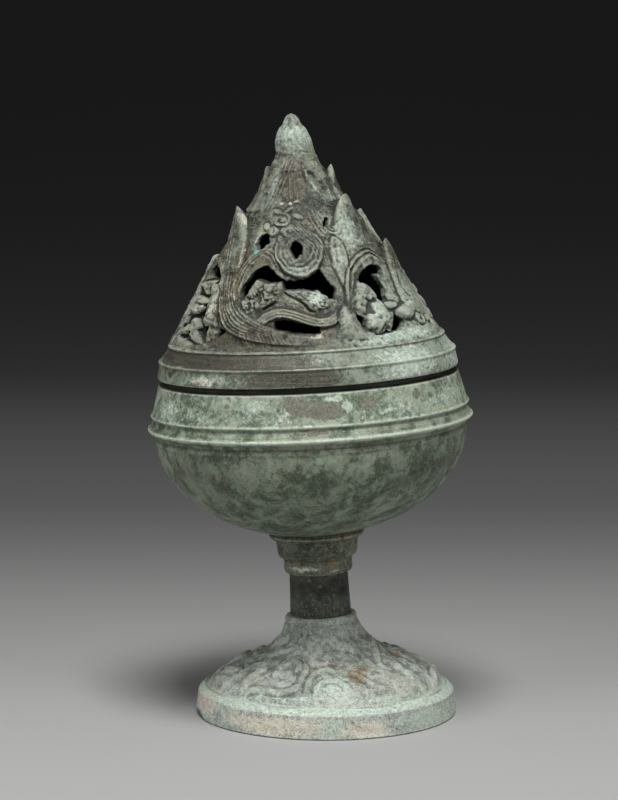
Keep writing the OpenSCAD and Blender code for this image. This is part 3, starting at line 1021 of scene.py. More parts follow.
def turned(
    outline: Array,
    columns: int,
    put: object,
    wobble: float,
    patches: tuple[Patch, ...],
    extra: Array | None = None,
    reach: int = 4,
) -> Surface:
    """Turns a closed outline about an axis, with the slight unevenness of a casting.

    Each point is moved along the normal by wobble times two noises, one broad and one fine. Nothing is moved
    at the ground. Hollow and edge come from the added height and from the bend of the outline; the finish
    paints shade in the hollows and a pale rub, partly painted highlight, on the edges.

    Args:
        outline: Radius and height of each point of the outline.
        columns: Steps round the axis.
        put: Function of radius, azimuth and height that places a point.
        wobble: Height of the broad unevenness in mm.
        patches: Stains.
        extra: Height in mm to add along the outline's normal, on the same grid.
        reach: Grid steps round a point that its rubbed edges with painted highlight and its painted-shade
            hollows are judged over.

    Returns:
        The closed surface.
    """
    az = azimuths(columns)
    r = np.broadcast_to(outline[:, :1], (len(outline), columns))
    z = np.broadcast_to(outline[:, 1:], r.shape)
    flat = put(r, az[None, :], z)
    uneven = wobble * (NOISE.at(flat, BROAD_PITCH) + FINE_SHARE * NOISE.at(flat, FINE_PITCH))
    way = np.roll(outline, -1, axis=0) - np.roll(outline, 1, axis=0)
    way /= np.maximum(np.hypot(way[:, 0], way[:, 1]), TINY)[:, None]
    next_r, next_z = np.roll(outline, -1, axis=0).T
    area = float(np.sum(outline[:, 0] * next_z - next_r * outline[:, 1]))
    sign = 1.0 if area > 0.0 else -1.0
    normal_r, normal_z = sign * way[:, 1:], -sign * way[:, :1]
    height = uneven if extra is None else uneven + extra
    standing = smooth(*STANDING_Z, z)
    place_r = r + height * normal_r * standing
    place_z = z + height * normal_z * standing
    points = put(place_r, az[None, :], place_z)
    # hollow: above zero a rub with painted highlight, below zero painted shade
    hollow = np.zeros(r.shape) if extra is None else bumps(extra, reach) * RELIEF_WEAR_AND_SHADING
    bend = np.roll(outline, -1, axis=0) + np.roll(outline, 1, axis=0) - 2.0 * outline
    curve = -(bend[:, :1] * normal_r + bend[:, 1:] * normal_z)
    hollow = hollow + np.clip(curve * BEND_WEAR_AND_SHADING, *BEND_RANGE)
    weights = stains_at(az[None, :], z, patches).reshape(-1, len(Stain))
    return Surface(points.reshape(-1, 3), ring_faces(*r.shape), weights, hollow.ravel())


@dataclass
class Bowl:
    """Deep round bowl with a flange, a small moulding and a lip inside its rim."""

    foot_z: float = 64.2
    rim_z: float = 117.8
    wall: float = 2.8
    body_r: float = 53.8
    flange_r: float = 56.3
    bead_r: float = 55.1
    bead_rise: float = 4.7
    belly_drop: float = 2.6
    rim_r: float = 51.5
    lip_out: float = 48.4
    lip_in: float = 46.0
    lip_rise: float = 5.6
    seat_r: float = 15.8
    hole_r: float = 3.4
    columns: int = 360
    wobble: float = 0.22
    pitches: tuple[float, ...] = (0.45, 0.8, 2.5, 2.0)
    # painted shade on the lip, in the gap under the lid, and inside the bowl
    lip_shade: float = 0.82
    inside_shade: float = 0.7
    lines: tuple[tuple[float, float, float], ...] = ((99.2, 0.5, -0.2), (98.2, 0.5, 0.15), (97.2, 0.4, -0.18))
    patches: tuple[Patch, ...] = (
        *ovals(Stain.BROWN, (-5, 113.8, 6, 4.8, 1.3), (6, 112.8, 10, 4.2, 1.3), (21, 113.4, 7, 5.2, 1.0),
               (-33, 112.8, 9, 3.4, 0.7), (-16, 111.6, 5, 2.4, 0.72), (44, 114.5, 12, 3.0, 0.72),
               (2, 104.8, 12, 1.2, 0.8), (22, 104.4, 7, 1.0, 0.7), (20, 100.6, 16, 1.4, 0.85),
               (-58, 91, 6, 4, 0.8), (34, 84, 14, 8, 0.68), (60, 90, 14, 7, 0.66), (-12, 69, 9, 4.4, 0.8),
               (15, 70, 9, 5.0, 0.85), (24, 77, 5, 4, 0.72), (10, 90, 12, 5, 0.6), (150, 90, 30, 12, 0.65),
               (230, 84, 24, 10, 0.65)),
        *ovals(Stain.MINT, (0, 111.4, 900, 8, 0.62), (-62, 111, 22, 7, 0.85), (-20, 113.5, 9, 4.0, 0.9),
               (9, 115.6, 5, 1.5, 1.5), (14, 113, 3, 2.4, 1.4), (-10, 110.2, 60, 3.0, 0.45),
               (60, 111, 26, 6, 0.6), (0, 107.1, 400, 0.9, 0.8), (0, 102.5, 400, 0.9, 0.9),
               (-44, 110.6, 22, 5, 0.72), (-30, 94, 22, 5, 0.4), (190, 96, 40, 8, 0.5)),
        *ovals(Stain.CREAM, (34, 112, 14, 4, 0.62), (62, 108, 20, 6, 0.58), (-48, 102.6, 24, 0.8, 0.6),
               (40, 102.6, 24, 0.8, 0.5)),
        *ovals(Stain.RUST, (-48, 82, 12, 6, 0.5), (40, 90, 12, 5, 0.4), (20, 66.6, 40, 1.6, 0.6)),
        # painted shade: the lower body darkened all round and more at both sides, as if lit from above
        *ovals(Stain.SOOT_AND_SHADE, (0, 78, 900, 17, 0.26), (-48, 88, 32, 13, 0.44), (50, 88, 32, 13, 0.43)),
    )

    def body_line(self, inset: float, steps: int = 18) -> Points:
        """Round side from the seat to the flange: an ellipse, drawn in by an inset."""
        mid = FLANGE_Z - self.belly_drop
        bulge = np.arccos(self.seat_r / self.body_r)
        fall = (mid - self.foot_z) / np.sin(bulge)
        a = bulge * (1.0 - np.arange(steps + 1) / steps)
        r = (self.body_r - inset) * np.cos(a)
        z = mid - fall * np.sin(a) + inset * np.sin(a)
        return tuple(zip(r.tolist(), z.tolist()))

    def outline(self) -> tuple[Array, Array]:
        """Closed outline: underside, flange and mouldings, rim, lip and inside, and the run of each point."""
        flange, bead, rim = self.flange_r, self.bead_r, self.rim_r
        flange_z, bead_z = FLANGE_Z, FLANGE_Z + self.bead_rise
        side = self.body_line(0.0)
        inner = self.body_line(self.wall)
        floor_z = self.foot_z + self.wall
        outside = side + (
            (self.body_r + 0.4, flange_z - 1.6), (flange - 0.5, flange_z - 0.8), (flange, flange_z),
            (flange - 0.4, flange_z + 0.6), (flange - 1.2, flange_z + 1.2),
            (bead - 1.0, bead_z - 1.0), (bead - 0.2, bead_z - 0.4), (bead, bead_z + 0.1),
            (bead - 0.6, bead_z + 0.6), (bead - 1.0, bead_z + 1.4),
            (rim + 0.3, self.rim_z - 0.8), (rim, self.rim_z),
        )
        top = self.rim_z + self.lip_rise
        lip = (
            (rim, self.rim_z), (self.lip_out, self.rim_z), (self.lip_out, top), (self.lip_in, top),
            (self.lip_in, self.rim_z - 3.0), inner[-1],
        )
        inside = inner[::-1] + ((self.hole_r, floor_z),)
        under = ((self.hole_r, floor_z), (self.hole_r, self.foot_z), side[0])
        return chain((outside, lip, inside, under), self.pitches)

    def build(self, finish: Material) -> None:
        """Turns the bowl, with painted shade inside it and on the lip under the lid."""
        outline, run = self.outline()
        outside, lip, inside = (run == number for number in range(3))
        z = outline[:, 1]
        lines = np.zeros(len(outline))
        for at, wide, height in self.lines:
            lines += np.where(outside, height * np.exp(-(((z - at) / wide) ** 2)), 0.0)
        extra = np.repeat(lines[:, None], self.columns, axis=1)
        surface = turned(outline, self.columns, polar, self.wobble, self.patches, extra)
        # painted shade: the inside and the lip in the gap under the lid are darkened
        surface.stains[np.repeat(inside, self.columns), Stain.SOOT_AND_SHADE.value] = self.inside_shade
        surface.stains[np.repeat(lip, self.columns), Stain.SOOT_AND_SHADE.value] = self.lip_shade
        place("bowl_casting", surface, Body.STAND, "bowl_bronze", finish, ("bowl",))


@dataclass
class Stem:
    """Hollow column between the foot and the collar."""

    low_z: float = 34.6
    high_z: float = 49.6
    low_r: float = 10.6
    high_r: float = 10.15
    tenon_r: float = 8.2
    tenon_len: float = 6.0
    bore_r: float = 5.0
    columns: int = 160
    wobble: float = 0.16
    pitches: tuple[float, ...] = (0.4, 1.2)
    patches: tuple[Patch, ...] = (
        # painted shade at the top of the stem, under the collar; a thin dark line at the joint with the foot
        *ovals(Stain.SOOT_AND_SHADE, (0, 45.4, 400, 5.4, 0.7), (8, 44.4, 20, 2.8, 1.0), (-34, 45.8, 22, 2.6, 0.96),
               (52, 44, 26, 4.0, 0.98), (0, 34.8, 400, 0.5, 0.6)),
        *ovals(Stain.MINT, (0, 36.6, 400, 2.6, 0.42), (3, 45.6, 5, 0.8, 1.1), (-24, 47.6, 20, 1.0, 0.6)),
    )

    def build(self, finish: Material) -> None:
        """Turns the stem with its two tenons."""
        low, high, t = self.low_z, self.high_z, self.tenon_len
        outside = (
            (self.tenon_r, low - t), (self.tenon_r, low), (self.low_r, low), (self.high_r, high),
            (self.tenon_r, high), (self.tenon_r, high + t),
        )
        inside = (
            (self.tenon_r, high + t), (self.bore_r, high + t), (self.bore_r, low - t),
            (self.tenon_r, low - t),
        )
        outline, _ = chain((outside, inside), self.pitches)
        surface = turned(outline, self.columns, polar, self.wobble, self.patches)
        place("stem_column", surface, Body.STAND, "dark_bronze", finish, ("stem",))


@dataclass
class Collar:
    """Ring, cup and cap between the stem and the bowl."""

    low_z: float = 49.6
    ring_r: float = 11.9
    ring_h: float = 5.6
    cup_low: float = 13.8
    cup_high: float = 14.4
    cup_h: float = 6.2
    cap_r: float = 16.7
    cap_h: float = 2.8
    bore_r: float = 8.35
    hole_r: float = 3.4
    tenon_len: float = 6.15
    columns: int = 200
    wobble: float = 0.14
    pitches: tuple[float, ...] = (0.32, 1.2)
    patches: tuple[Patch, ...] = (
        *ovals(Stain.MINT, (-20, 52.0, 70, 1.8, 0.8), (30, 51.0, 40, 1.0, 0.7), (30, 57, 24, 2.0, 0.5),
               (-30, 63, 50, 1.0, 0.55)),
        *ovals(Stain.RUST, (24, 53.4, 24, 1.6, 0.9), (-36, 54.6, 20, 1.2, 1.0), (14, 59, 24, 2.8, 0.8),
               (40, 63, 40, 1.2, 0.95)),
        *ovals(Stain.SOOT_AND_SHADE, (-40, 57.6, 40, 2.4, 0.35)),
    )

    def build(self, finish: Material) -> None:
        """Turns the collar with its socket and rivet hole."""
        z0 = self.low_z
        z1 = z0 + self.ring_h
        z2 = z1 + self.cup_h
        z3 = z2 + self.cap_h
        socket_z = z0 + self.tenon_len
        ring, cap = self.ring_r, self.cap_r
        outside = (
            (self.bore_r, z0), (ring - 0.5, z0), (ring, z0 + 1.2), (ring, z1 - 0.8),
            (self.cup_low - 0.6, z1), (self.cup_low, z1 + 1.0), (self.cup_high, z2), (cap - 0.7, z2 + 0.5),
            (cap, z2 + self.cap_h * 0.5), (cap - 0.7, z3), (self.hole_r, z3),
        )
        inside = ((self.hole_r, z3), (self.hole_r, socket_z), (self.bore_r, socket_z), (self.bore_r, z0))
        outline, _ = chain((outside, inside), self.pitches)
        surface = turned(outline, self.columns, polar, self.wobble, self.patches)
        place("collar_casting", surface, Body.STAND, "dark_bronze", finish, ("collar",))


def bezier(p: Points, steps: int) -> Points:
    """Points along the cubic curve of four control points."""
    q = np.asarray(p, float)
    t = np.linspace(0.0, 1.0, steps + 1)[:, None]
    line = (1 - t) ** 3 * q[0] + 3 * t * (1 - t) ** 2 * q[1] + 3 * t * t * (1 - t) * q[2] + t**3 * q[3]
    return tuple(map(tuple, line.tolist()))


@dataclass
class Foot:
    """Flared foot: banded rim, domed top cast in low relief, and a neck that takes the stem's lean."""

    rim_low: float = 45.3
    rim_high: float = 44.4
    rim_z: float = 8.0
    bevel: tuple[float, float] = (42.2, 10.2)
    groove: tuple[float, float] = (41.5, 9.5)
    bite_az: float = -79.0
    bite_half: float = 9.0
    bite_z: float = 2.0
    bite_reach: float = 4.0
    lean_span: tuple[float, float] = (12.0, 30.0)
    facets: float = 8.0
    facet_h: float = 0.2
    wobble: float = 0.2
    pitches: tuple[float, ...] = (0.45, 0.36, 0.5, 2.0)
    # painted shade inside the hollow foot
    inside_shade: float = 0.8
    edge_reach: int = 8
    dome_steps: int = 40
    dome_inset: float = 0.9
    rim_wall: float = 3.0
    dome: Points = ((40.6, 10.2), (36.13, 19.79), (16.24, 18.36), (13.4, 30.6))
    neck_r: float = 12.0
    top_z: float = 34.6
    socket_r: float = 8.35
    socket_z: float = 28.6
    hole_r: float = 3.4
    web_z: float = 25.2
    wall: float = 2.55
    columns: int = 450
    patches: tuple[Patch, ...] = (
        *ovals(Stain.RUST, (20, 17.8, 13, 2.8, 0.95), (30, 19.6, 18, 1.8, 0.85), (42, 16.6, 9, 2.0, 0.74),
               (79, 19.8, 18, 2.2, 0.8), (8, 20.8, 14, 1.2, 0.76), (-18, 20.2, 7, 1.6, 0.7),
               (-22, 3.4, 7, 2.2, 1.0), (-36, 4.6, 10, 2.0, 0.8), (-8, 2.6, 6, 1.4, 0.55),
               (180, 16, 30, 4, 0.5)),
        *ovals(Stain.BROWN, (-30, 30, 26, 5, 0.7), (-45, 20.6, 10, 1.0, 0.6), (-32, 13.6, 16, 0.9, 0.6),
               (-12, 15, 3, 2.2, 0.6), (-85, 18, 20, 5, 0.5), (20, 14, 12, 1.0, 0.55),
               (34, 6.6, 24, 1.5, 0.66), (-24, 2.6, 16, 2.4, 0.56), (-26, 32.6, 24, 1.8, 0.62)),
        *ovals(Stain.MINT, (0, 11.6, 400, 1.4, 0.5), (3, 15.6, 15, 3.2, 0.8), (-49, 18.4, 6, 1.6, 0.7),
               (60, 17, 16, 3, 0.5), (-25, 20, 10, 2, 0.4), (0, 9.2, 400, 1.4, 1.25), (0, 3.6, 900, 6, 0.55),
               (3, 3, 7, 5, 1.1), (50, 4, 16, 4, 0.95), (-60, 6.4, 20, 2.6, 0.8), (20, 33.4, 60, 1.4, 0.75),
               (-14, 24, 22, 3.4, 0.5), (-30, 12.8, 34, 1.6, 0.75)),
        *ovals(Stain.CREAM, (-20, 9.0, 80, 1.0, 0.8), (-24, 4, 36, 4.6, 1.25), (-72, 6, 24, 6, 1.15),
               (17, 3, 17, 4.4, 1.2), (0, 4, 900, 6, 0.55)),
    )

    def put(self, r: Array, az: Array, z: Array) -> Array:
        """Places a point about the upright axis low down, and about the leaning axis at the neck.

        The rim's lower edge is raised as a flat-topped bell of the azimuth where a bite is missing.
        """
        share = smooth(*self.lean_span, z)[..., None]
        bite = self.bite_z * np.exp(-((turn_between(az, self.bite_az) / self.bite_half) ** 4))
        bite = bite * smooth(self.bite_reach, 0.0, z)
        return (1.0 - share) * upright(r, az, z + bite) + share * polar(r, az, z)

    def draw(self, relief: Relief) -> None:
        """Draws the dome's worn relief, three times round: coiled bodies, and folds down from the neck."""
        for turn in (0.0, 120.0, 240.0):
            self.swirl(relief, turn)
        relief.out += 0.35 * relief.noise(4.6) + 0.3 * relief.noise(1.9) + 0.16 * relief.noise(0.9)

    def swirl(self, relief: Relief, turn: float) -> None:
        """Draws one third of the scene: a coiled body, a looped one beside it, and the clouds round them."""

        def at(*points: tuple[float, float]) -> Points:
            """Points turned round the foot."""
            return tuple((az + turn, z) for az, z in points)

        middle = at((-12, 13.5), (-12.6, 16), (-12.2, 18.4), (-5.8, 19.9), (3.4, 20.3), (10, 19.6))
        inner = at((-7.8, 14.2), (-7.4, 16.1), (-3.2, 17.7), (4.8, 18), (11.2, 17.4), (14, 15.9),
                   (12.8, 13.6))
        body = at((-46.4, 12.6), (-37.6, 14.1), (-26.8, 13.9), (-19.6, 14.7), (-15.4, 17.1), (-16.6, 19.9),
                  (-22.4, 21.7))
        loop = at((-33.2, 17.2), (-36, 19.4), (-31, 21.3), (-24, 21.1), (-20, 19.2))
        strands = (
            (middle, -1.3, (0.2, -2.8)), (inner, -1.7, (0.0, -3.2)),
            (body, 0.0, (1.9, -1.9)), (loop, 0.0, (-1.6, 1.6)),
        )
        for line, swell, sides in strands:
            relief.ridges(line, (swell,), 1.4, 0.75)
            relief.ridges(line, sides, 0.42, -0.6)
            relief.ridges(line, (swell - 0.7, swell, swell + 0.7), 0.26, 0.2)
        relief.blob(-49.4 + turn, 18.4, 2.2, 2.6, 0.9)
        relief.blob(-28 + turn, 18.4, 2.6, 3.0, 0.6, 40.0)
        relief.ridges(at((-66, 12), (-61, 14.7), (-58, 17), (-56, 19.4), (-50, 21)), (0.0, 2.4), 1.0, 0.5)
        fold = at((84, 25.4), (70, 23.4), (54, 21.2), (46, 19.4), (50, 18.4), (56, 18.8))
        arm = at((16.6, 19), (23, 17.8), (27.6, 15.6), (34, 13.8))
        for line in (fold, arm):
            relief.ridges(line, (0.0,), 1.2, 0.6)
            relief.ridges(line, (-1.5, 1.5), 0.4, -0.5)
            relief.ridges(line, (-0.7, 0.0, 0.7), 0.26, 0.2)
        relief.ridges(at((18, 20.2), (30, 20.6), (42, 20.8)), (0.0,), 1.1, 0.6)
        relief.ridges(at((36.6, 14.4), (44, 15.8), (54, 16), (64.6, 15)), (0.0, 2.3), 1.0, 0.5)
        relief.blob(57 + turn, 18.2, 2.4, 2.6, 0.8)
        relief.blob(70 + turn, 17, 2.8, 2.2, 0.7, 30.0)
        relief.ridges(at((-39.4, 31), (-39.2, 28.7), (-47.6, 25.5), (-60, 23), (-69, 21.4)), (0.0, 2.2), 1.0,
                      0.5)
        relief.ridges(at((6.2, 31), (8.6, 27.7), (17.8, 25.2), (34.4, 23.8), (48, 24.4)), (0.0, 2.2), 1.0,
                      0.5)
        relief.ridges(at((-8, 30), (-10, 27), (-16, 24.6), (-20, 23)), (0.0, 2.0), 1.0, 0.5)

    def build(self, finish: Material) -> None:
        """Turns the foot and lays the relief over its dome."""
        dome = bezier(self.dome, self.dome_steps)
        below = ((r - self.dome_inset, z - self.wall) for r, z in dome[::-1])
        inner = tuple(point for point in below if point[1] < self.web_z)
        side = self.rim_high - self.rim_wall
        rim = ((self.rim_low, 0.0), (self.rim_high, self.rim_z), self.bevel, self.groove, dome[0])
        neck = (
            dome[-1], (self.neck_r + 0.9, self.top_z - 3.0), (self.neck_r + 0.3, self.top_z - 2.6),
            (self.neck_r + 0.6, self.top_z - 1.9), (self.neck_r + 0.5, self.top_z - 0.6),
            (self.neck_r, self.top_z), (self.socket_r, self.top_z), (self.socket_r, self.socket_z),
            (self.hole_r, self.socket_z), (self.hole_r, self.web_z), inner[0],
        )
        under = inner + ((side, self.rim_z - 1.0), (side, 0.0), (self.rim_low, 0.0))
        outline, run = chain((rim, dome, neck, under), self.pitches)
        banded, domed, inside = run == 0, run == 1, run == 3
        az = azimuths(self.columns)
        relief = Relief(az, outline[domed, 0], np.maximum.accumulate(outline[domed, 1]))
        self.draw(relief)
        edge = smooth(0.0, 2.0, relief.s) * smooth(0.0, 3.0, relief.row_s[-1] - relief.s)
        extra = np.zeros((len(outline), self.columns))
        extra[domed] = relief.out * edge
        facet = self.facet_h * np.cos(np.radians(az * self.facets))
        extra[banded] += facet * smooth(0.0, 3.0, outline[banded, 1:])
        surface = turned(outline, self.columns, self.put, self.wobble, self.patches, extra, self.edge_reach)
        # painted shade inside the hollow foot
        surface.stains[np.repeat(inside, self.columns), Stain.SOOT_AND_SHADE.value] = self.inside_shade
        place("foot_casting", surface, Body.STAND, "foot_bronze", finish, ("foot",))


def shell(outer: Array, inner: Array, gap: Array, stains: Array, hollow: Array, quads: Array) -> Surface:
    """Closed shell between an outer and an inner grid, pierced where a signed field is positive.

    Each triangle of the grid is kept, dropped, or cut along the zero line of the field, at the share of each
    edge where the field crosses zero. The inner wall repeats the same triangles turned over, blackened all
    over as painted shade behind the openwork, and a strip closes every edge that only one triangle has.

    Args:
        outer: Outer points.
        inner: Inner points, in the same order.
        gap: Signed field at each point, positive in an opening.
        stains: Weights of the six stains at each outer point.
        hollow: Height over the neighbourhood at each outer point.
        quads: Four-sided faces of the grid.

    Returns:
        The closed surface.
    """
    tris = np.vstack([quads[:, [0, 1, 2]], quads[:, [0, 2, 3]]])
    kept = gap[tris] < 0.0
    count = kept.sum(axis=1)
    lone = np.where(count == 1, np.argmax(kept, axis=1), np.argmin(kept, axis=1))
    turned_tris = np.take_along_axis(tris, (lone[:, None] + np.arange(3)) % 3, axis=1)
    one, two = turned_tris[count == 1], turned_tris[count == 2]
    ends = np.vstack([one[:, [0, 1]], one[:, [0, 2]], two[:, [0, 1]], two[:, [0, 2]]])
    edges, number = np.unique(np.sort(ends, axis=1), axis=0, return_inverse=True)
    number = number.ravel() + len(outer)
    a, b = edges.T
    share = np.clip(gap[a] / np.where(gap[a] == gap[b], 1.0, gap[a] - gap[b]), 0.04, 0.96)

    def with_cuts(values: Array) -> Array:
        """Values at the grid points and at the cut edges."""
        t = share.reshape((-1,) + (1,) * (values.ndim - 1))
        return np.concatenate([values, values[a] * (1.0 - t) + values[b] * t])

    n1, n2 = len(one), len(two)
    one_ab, one_ac = number[:n1], number[n1 : 2 * n1]
    two_ab, two_ac = number[2 * n1 : 2 * n1 + n2], number[2 * n1 + n2 :]
    faces = np.vstack([
        tris[count == 3],
        np.stack([one[:, 0], one_ab, one_ac], axis=1),
        np.stack([two_ab, two[:, 1], two[:, 2]], axis=1),
        np.stack([two_ab, two[:, 2], two_ac], axis=1),
    ])
    outer, inner = with_cuts(outer), with_cuts(inner)
    stains, hollow = with_cuts(stains), with_cuts(hollow)
    sides = np.vstack([faces[:, [0, 1]], faces[:, [1, 2]], faces[:, [2, 0]]])
    _, first, shared = np.unique(np.sort(sides, axis=1), axis=0, return_index=True, return_counts=True)
    rim = sides[first[shared == 1]]
    total = len(outer)
    strip = np.stack([rim[:, 1], rim[:, 0], rim[:, 0] + total, rim[:, 1] + total], axis=1)
    # painted shade: the inner wall is blackened, as the dark seen through the openings
    inside = stains.copy()
    inside[:, Stain.SOOT_AND_SHADE.value] = 1.0
    corners = np.concatenate([faces.ravel(), strip.ravel(), faces.ravel() + total])
    used, renumbered = np.unique(corners, return_inverse=True)
    cuts = np.cumsum([faces.size, strip.size])
    front, strip, back = np.split(renumbered.ravel(), cuts)
    return Surface(
        np.vstack([outer, inner])[used],
        strip.reshape(-1, 4),
        np.vstack([stains, inside])[used],
        np.concatenate([hollow, np.zeros(total)])[used],
        np.vstack([front.reshape(-1, 3), back.reshape(-1, 3)[:, ::-1]]),
    )


@dataclass
class LidBands:
    """Ring of two stepped bands at the foot of the lid, which sits over the bowl's lip."""

    low_z: float = 119.8
    low_r: float = 51.8
    step_z: float = 125.4
    step_r: float = 51.2
    spring_z: float = 131.2
    spring_r: float = 46.8
    seat_r: float = 48.9
    seat_z: float = 123.7
    hollow_r: float = 45.6
    columns: int = 480
    pitches: tuple[float, ...] = (0.3, 1.0)
    wobble: float = 0.16
    # painted shade on the inside of the bands, over the gap
    painted_shade: float = 0.8
    patches: tuple[Patch, ...] = (
        *ovals(Stain.BROWN, (-6, 122, 22, 6, 1.5), (-62, 124, 20, 5, 0.7), (-34, 128.4, 40, 3.4, 1.5),
               (-66, 128.4, 30, 3.4, 1.2)),
        *ovals(Stain.SOOT_AND_SHADE, (-40, 128.4, 44, 3.2, 0.42), (-6, 122, 20, 5, 0.22)),
        *ovals(Stain.CREAM, (-42, 121.8, 15, 2.6, 0.9), (-24, 122.2, 8, 1.8, 0.75), (34, 121.8, 4, 2, 0.7),
               (4, 128, 5, 2, 0.8), (0, 120.1, 160, 0.5, 0.7)),
        *ovals(Stain.MINT, (42, 125, 26, 8, 0.8), (80, 124, 28, 8, 0.8), (-44, 122.4, 20, 3, 0.75)),
        *ovals(Stain.TURQUOISE, (36, 129.6, 2, 1, 0.8)),
    )

    def build(self, finish: Material) -> None:
        """Turns the bands, with painted shade on the inside."""
        low, step, spring = self.low_z, self.step_z, self.spring_z
        outside = (
            (self.seat_r, low), (self.low_r - 0.3, low), (self.low_r, low + 0.4),
            (self.step_r - 0.3, step - 0.5), (self.step_r, step), (self.step_r - 0.1, step + 0.5),
            (self.step_r - 0.9, step + 0.8), (self.spring_r + 0.5, spring - 0.8),
            (self.spring_r + 0.9, spring - 0.4), (self.spring_r + 0.7, spring + 0.1),
            (self.spring_r - 0.6, spring + 0.4), (self.hollow_r - 1.5, spring + 0.5),
        )
        inside = (
            outside[-1], (self.hollow_r - 0.6, spring - 1.5), (self.hollow_r, self.seat_z),
            (self.seat_r, self.seat_z), (self.seat_r, low),
        )
        outline, run = chain((outside, inside), self.pitches)
        surface = turned(outline, self.columns, polar, self.wobble, self.patches)
        # painted shade on the inside of the bands
        surface.stains[np.repeat(run == 1, self.columns), Stain.SOOT_AND_SHADE.value] = self.painted_shade
        place("lid_bands", surface, Body.LID, "lid_bronze", finish, ("lid",))


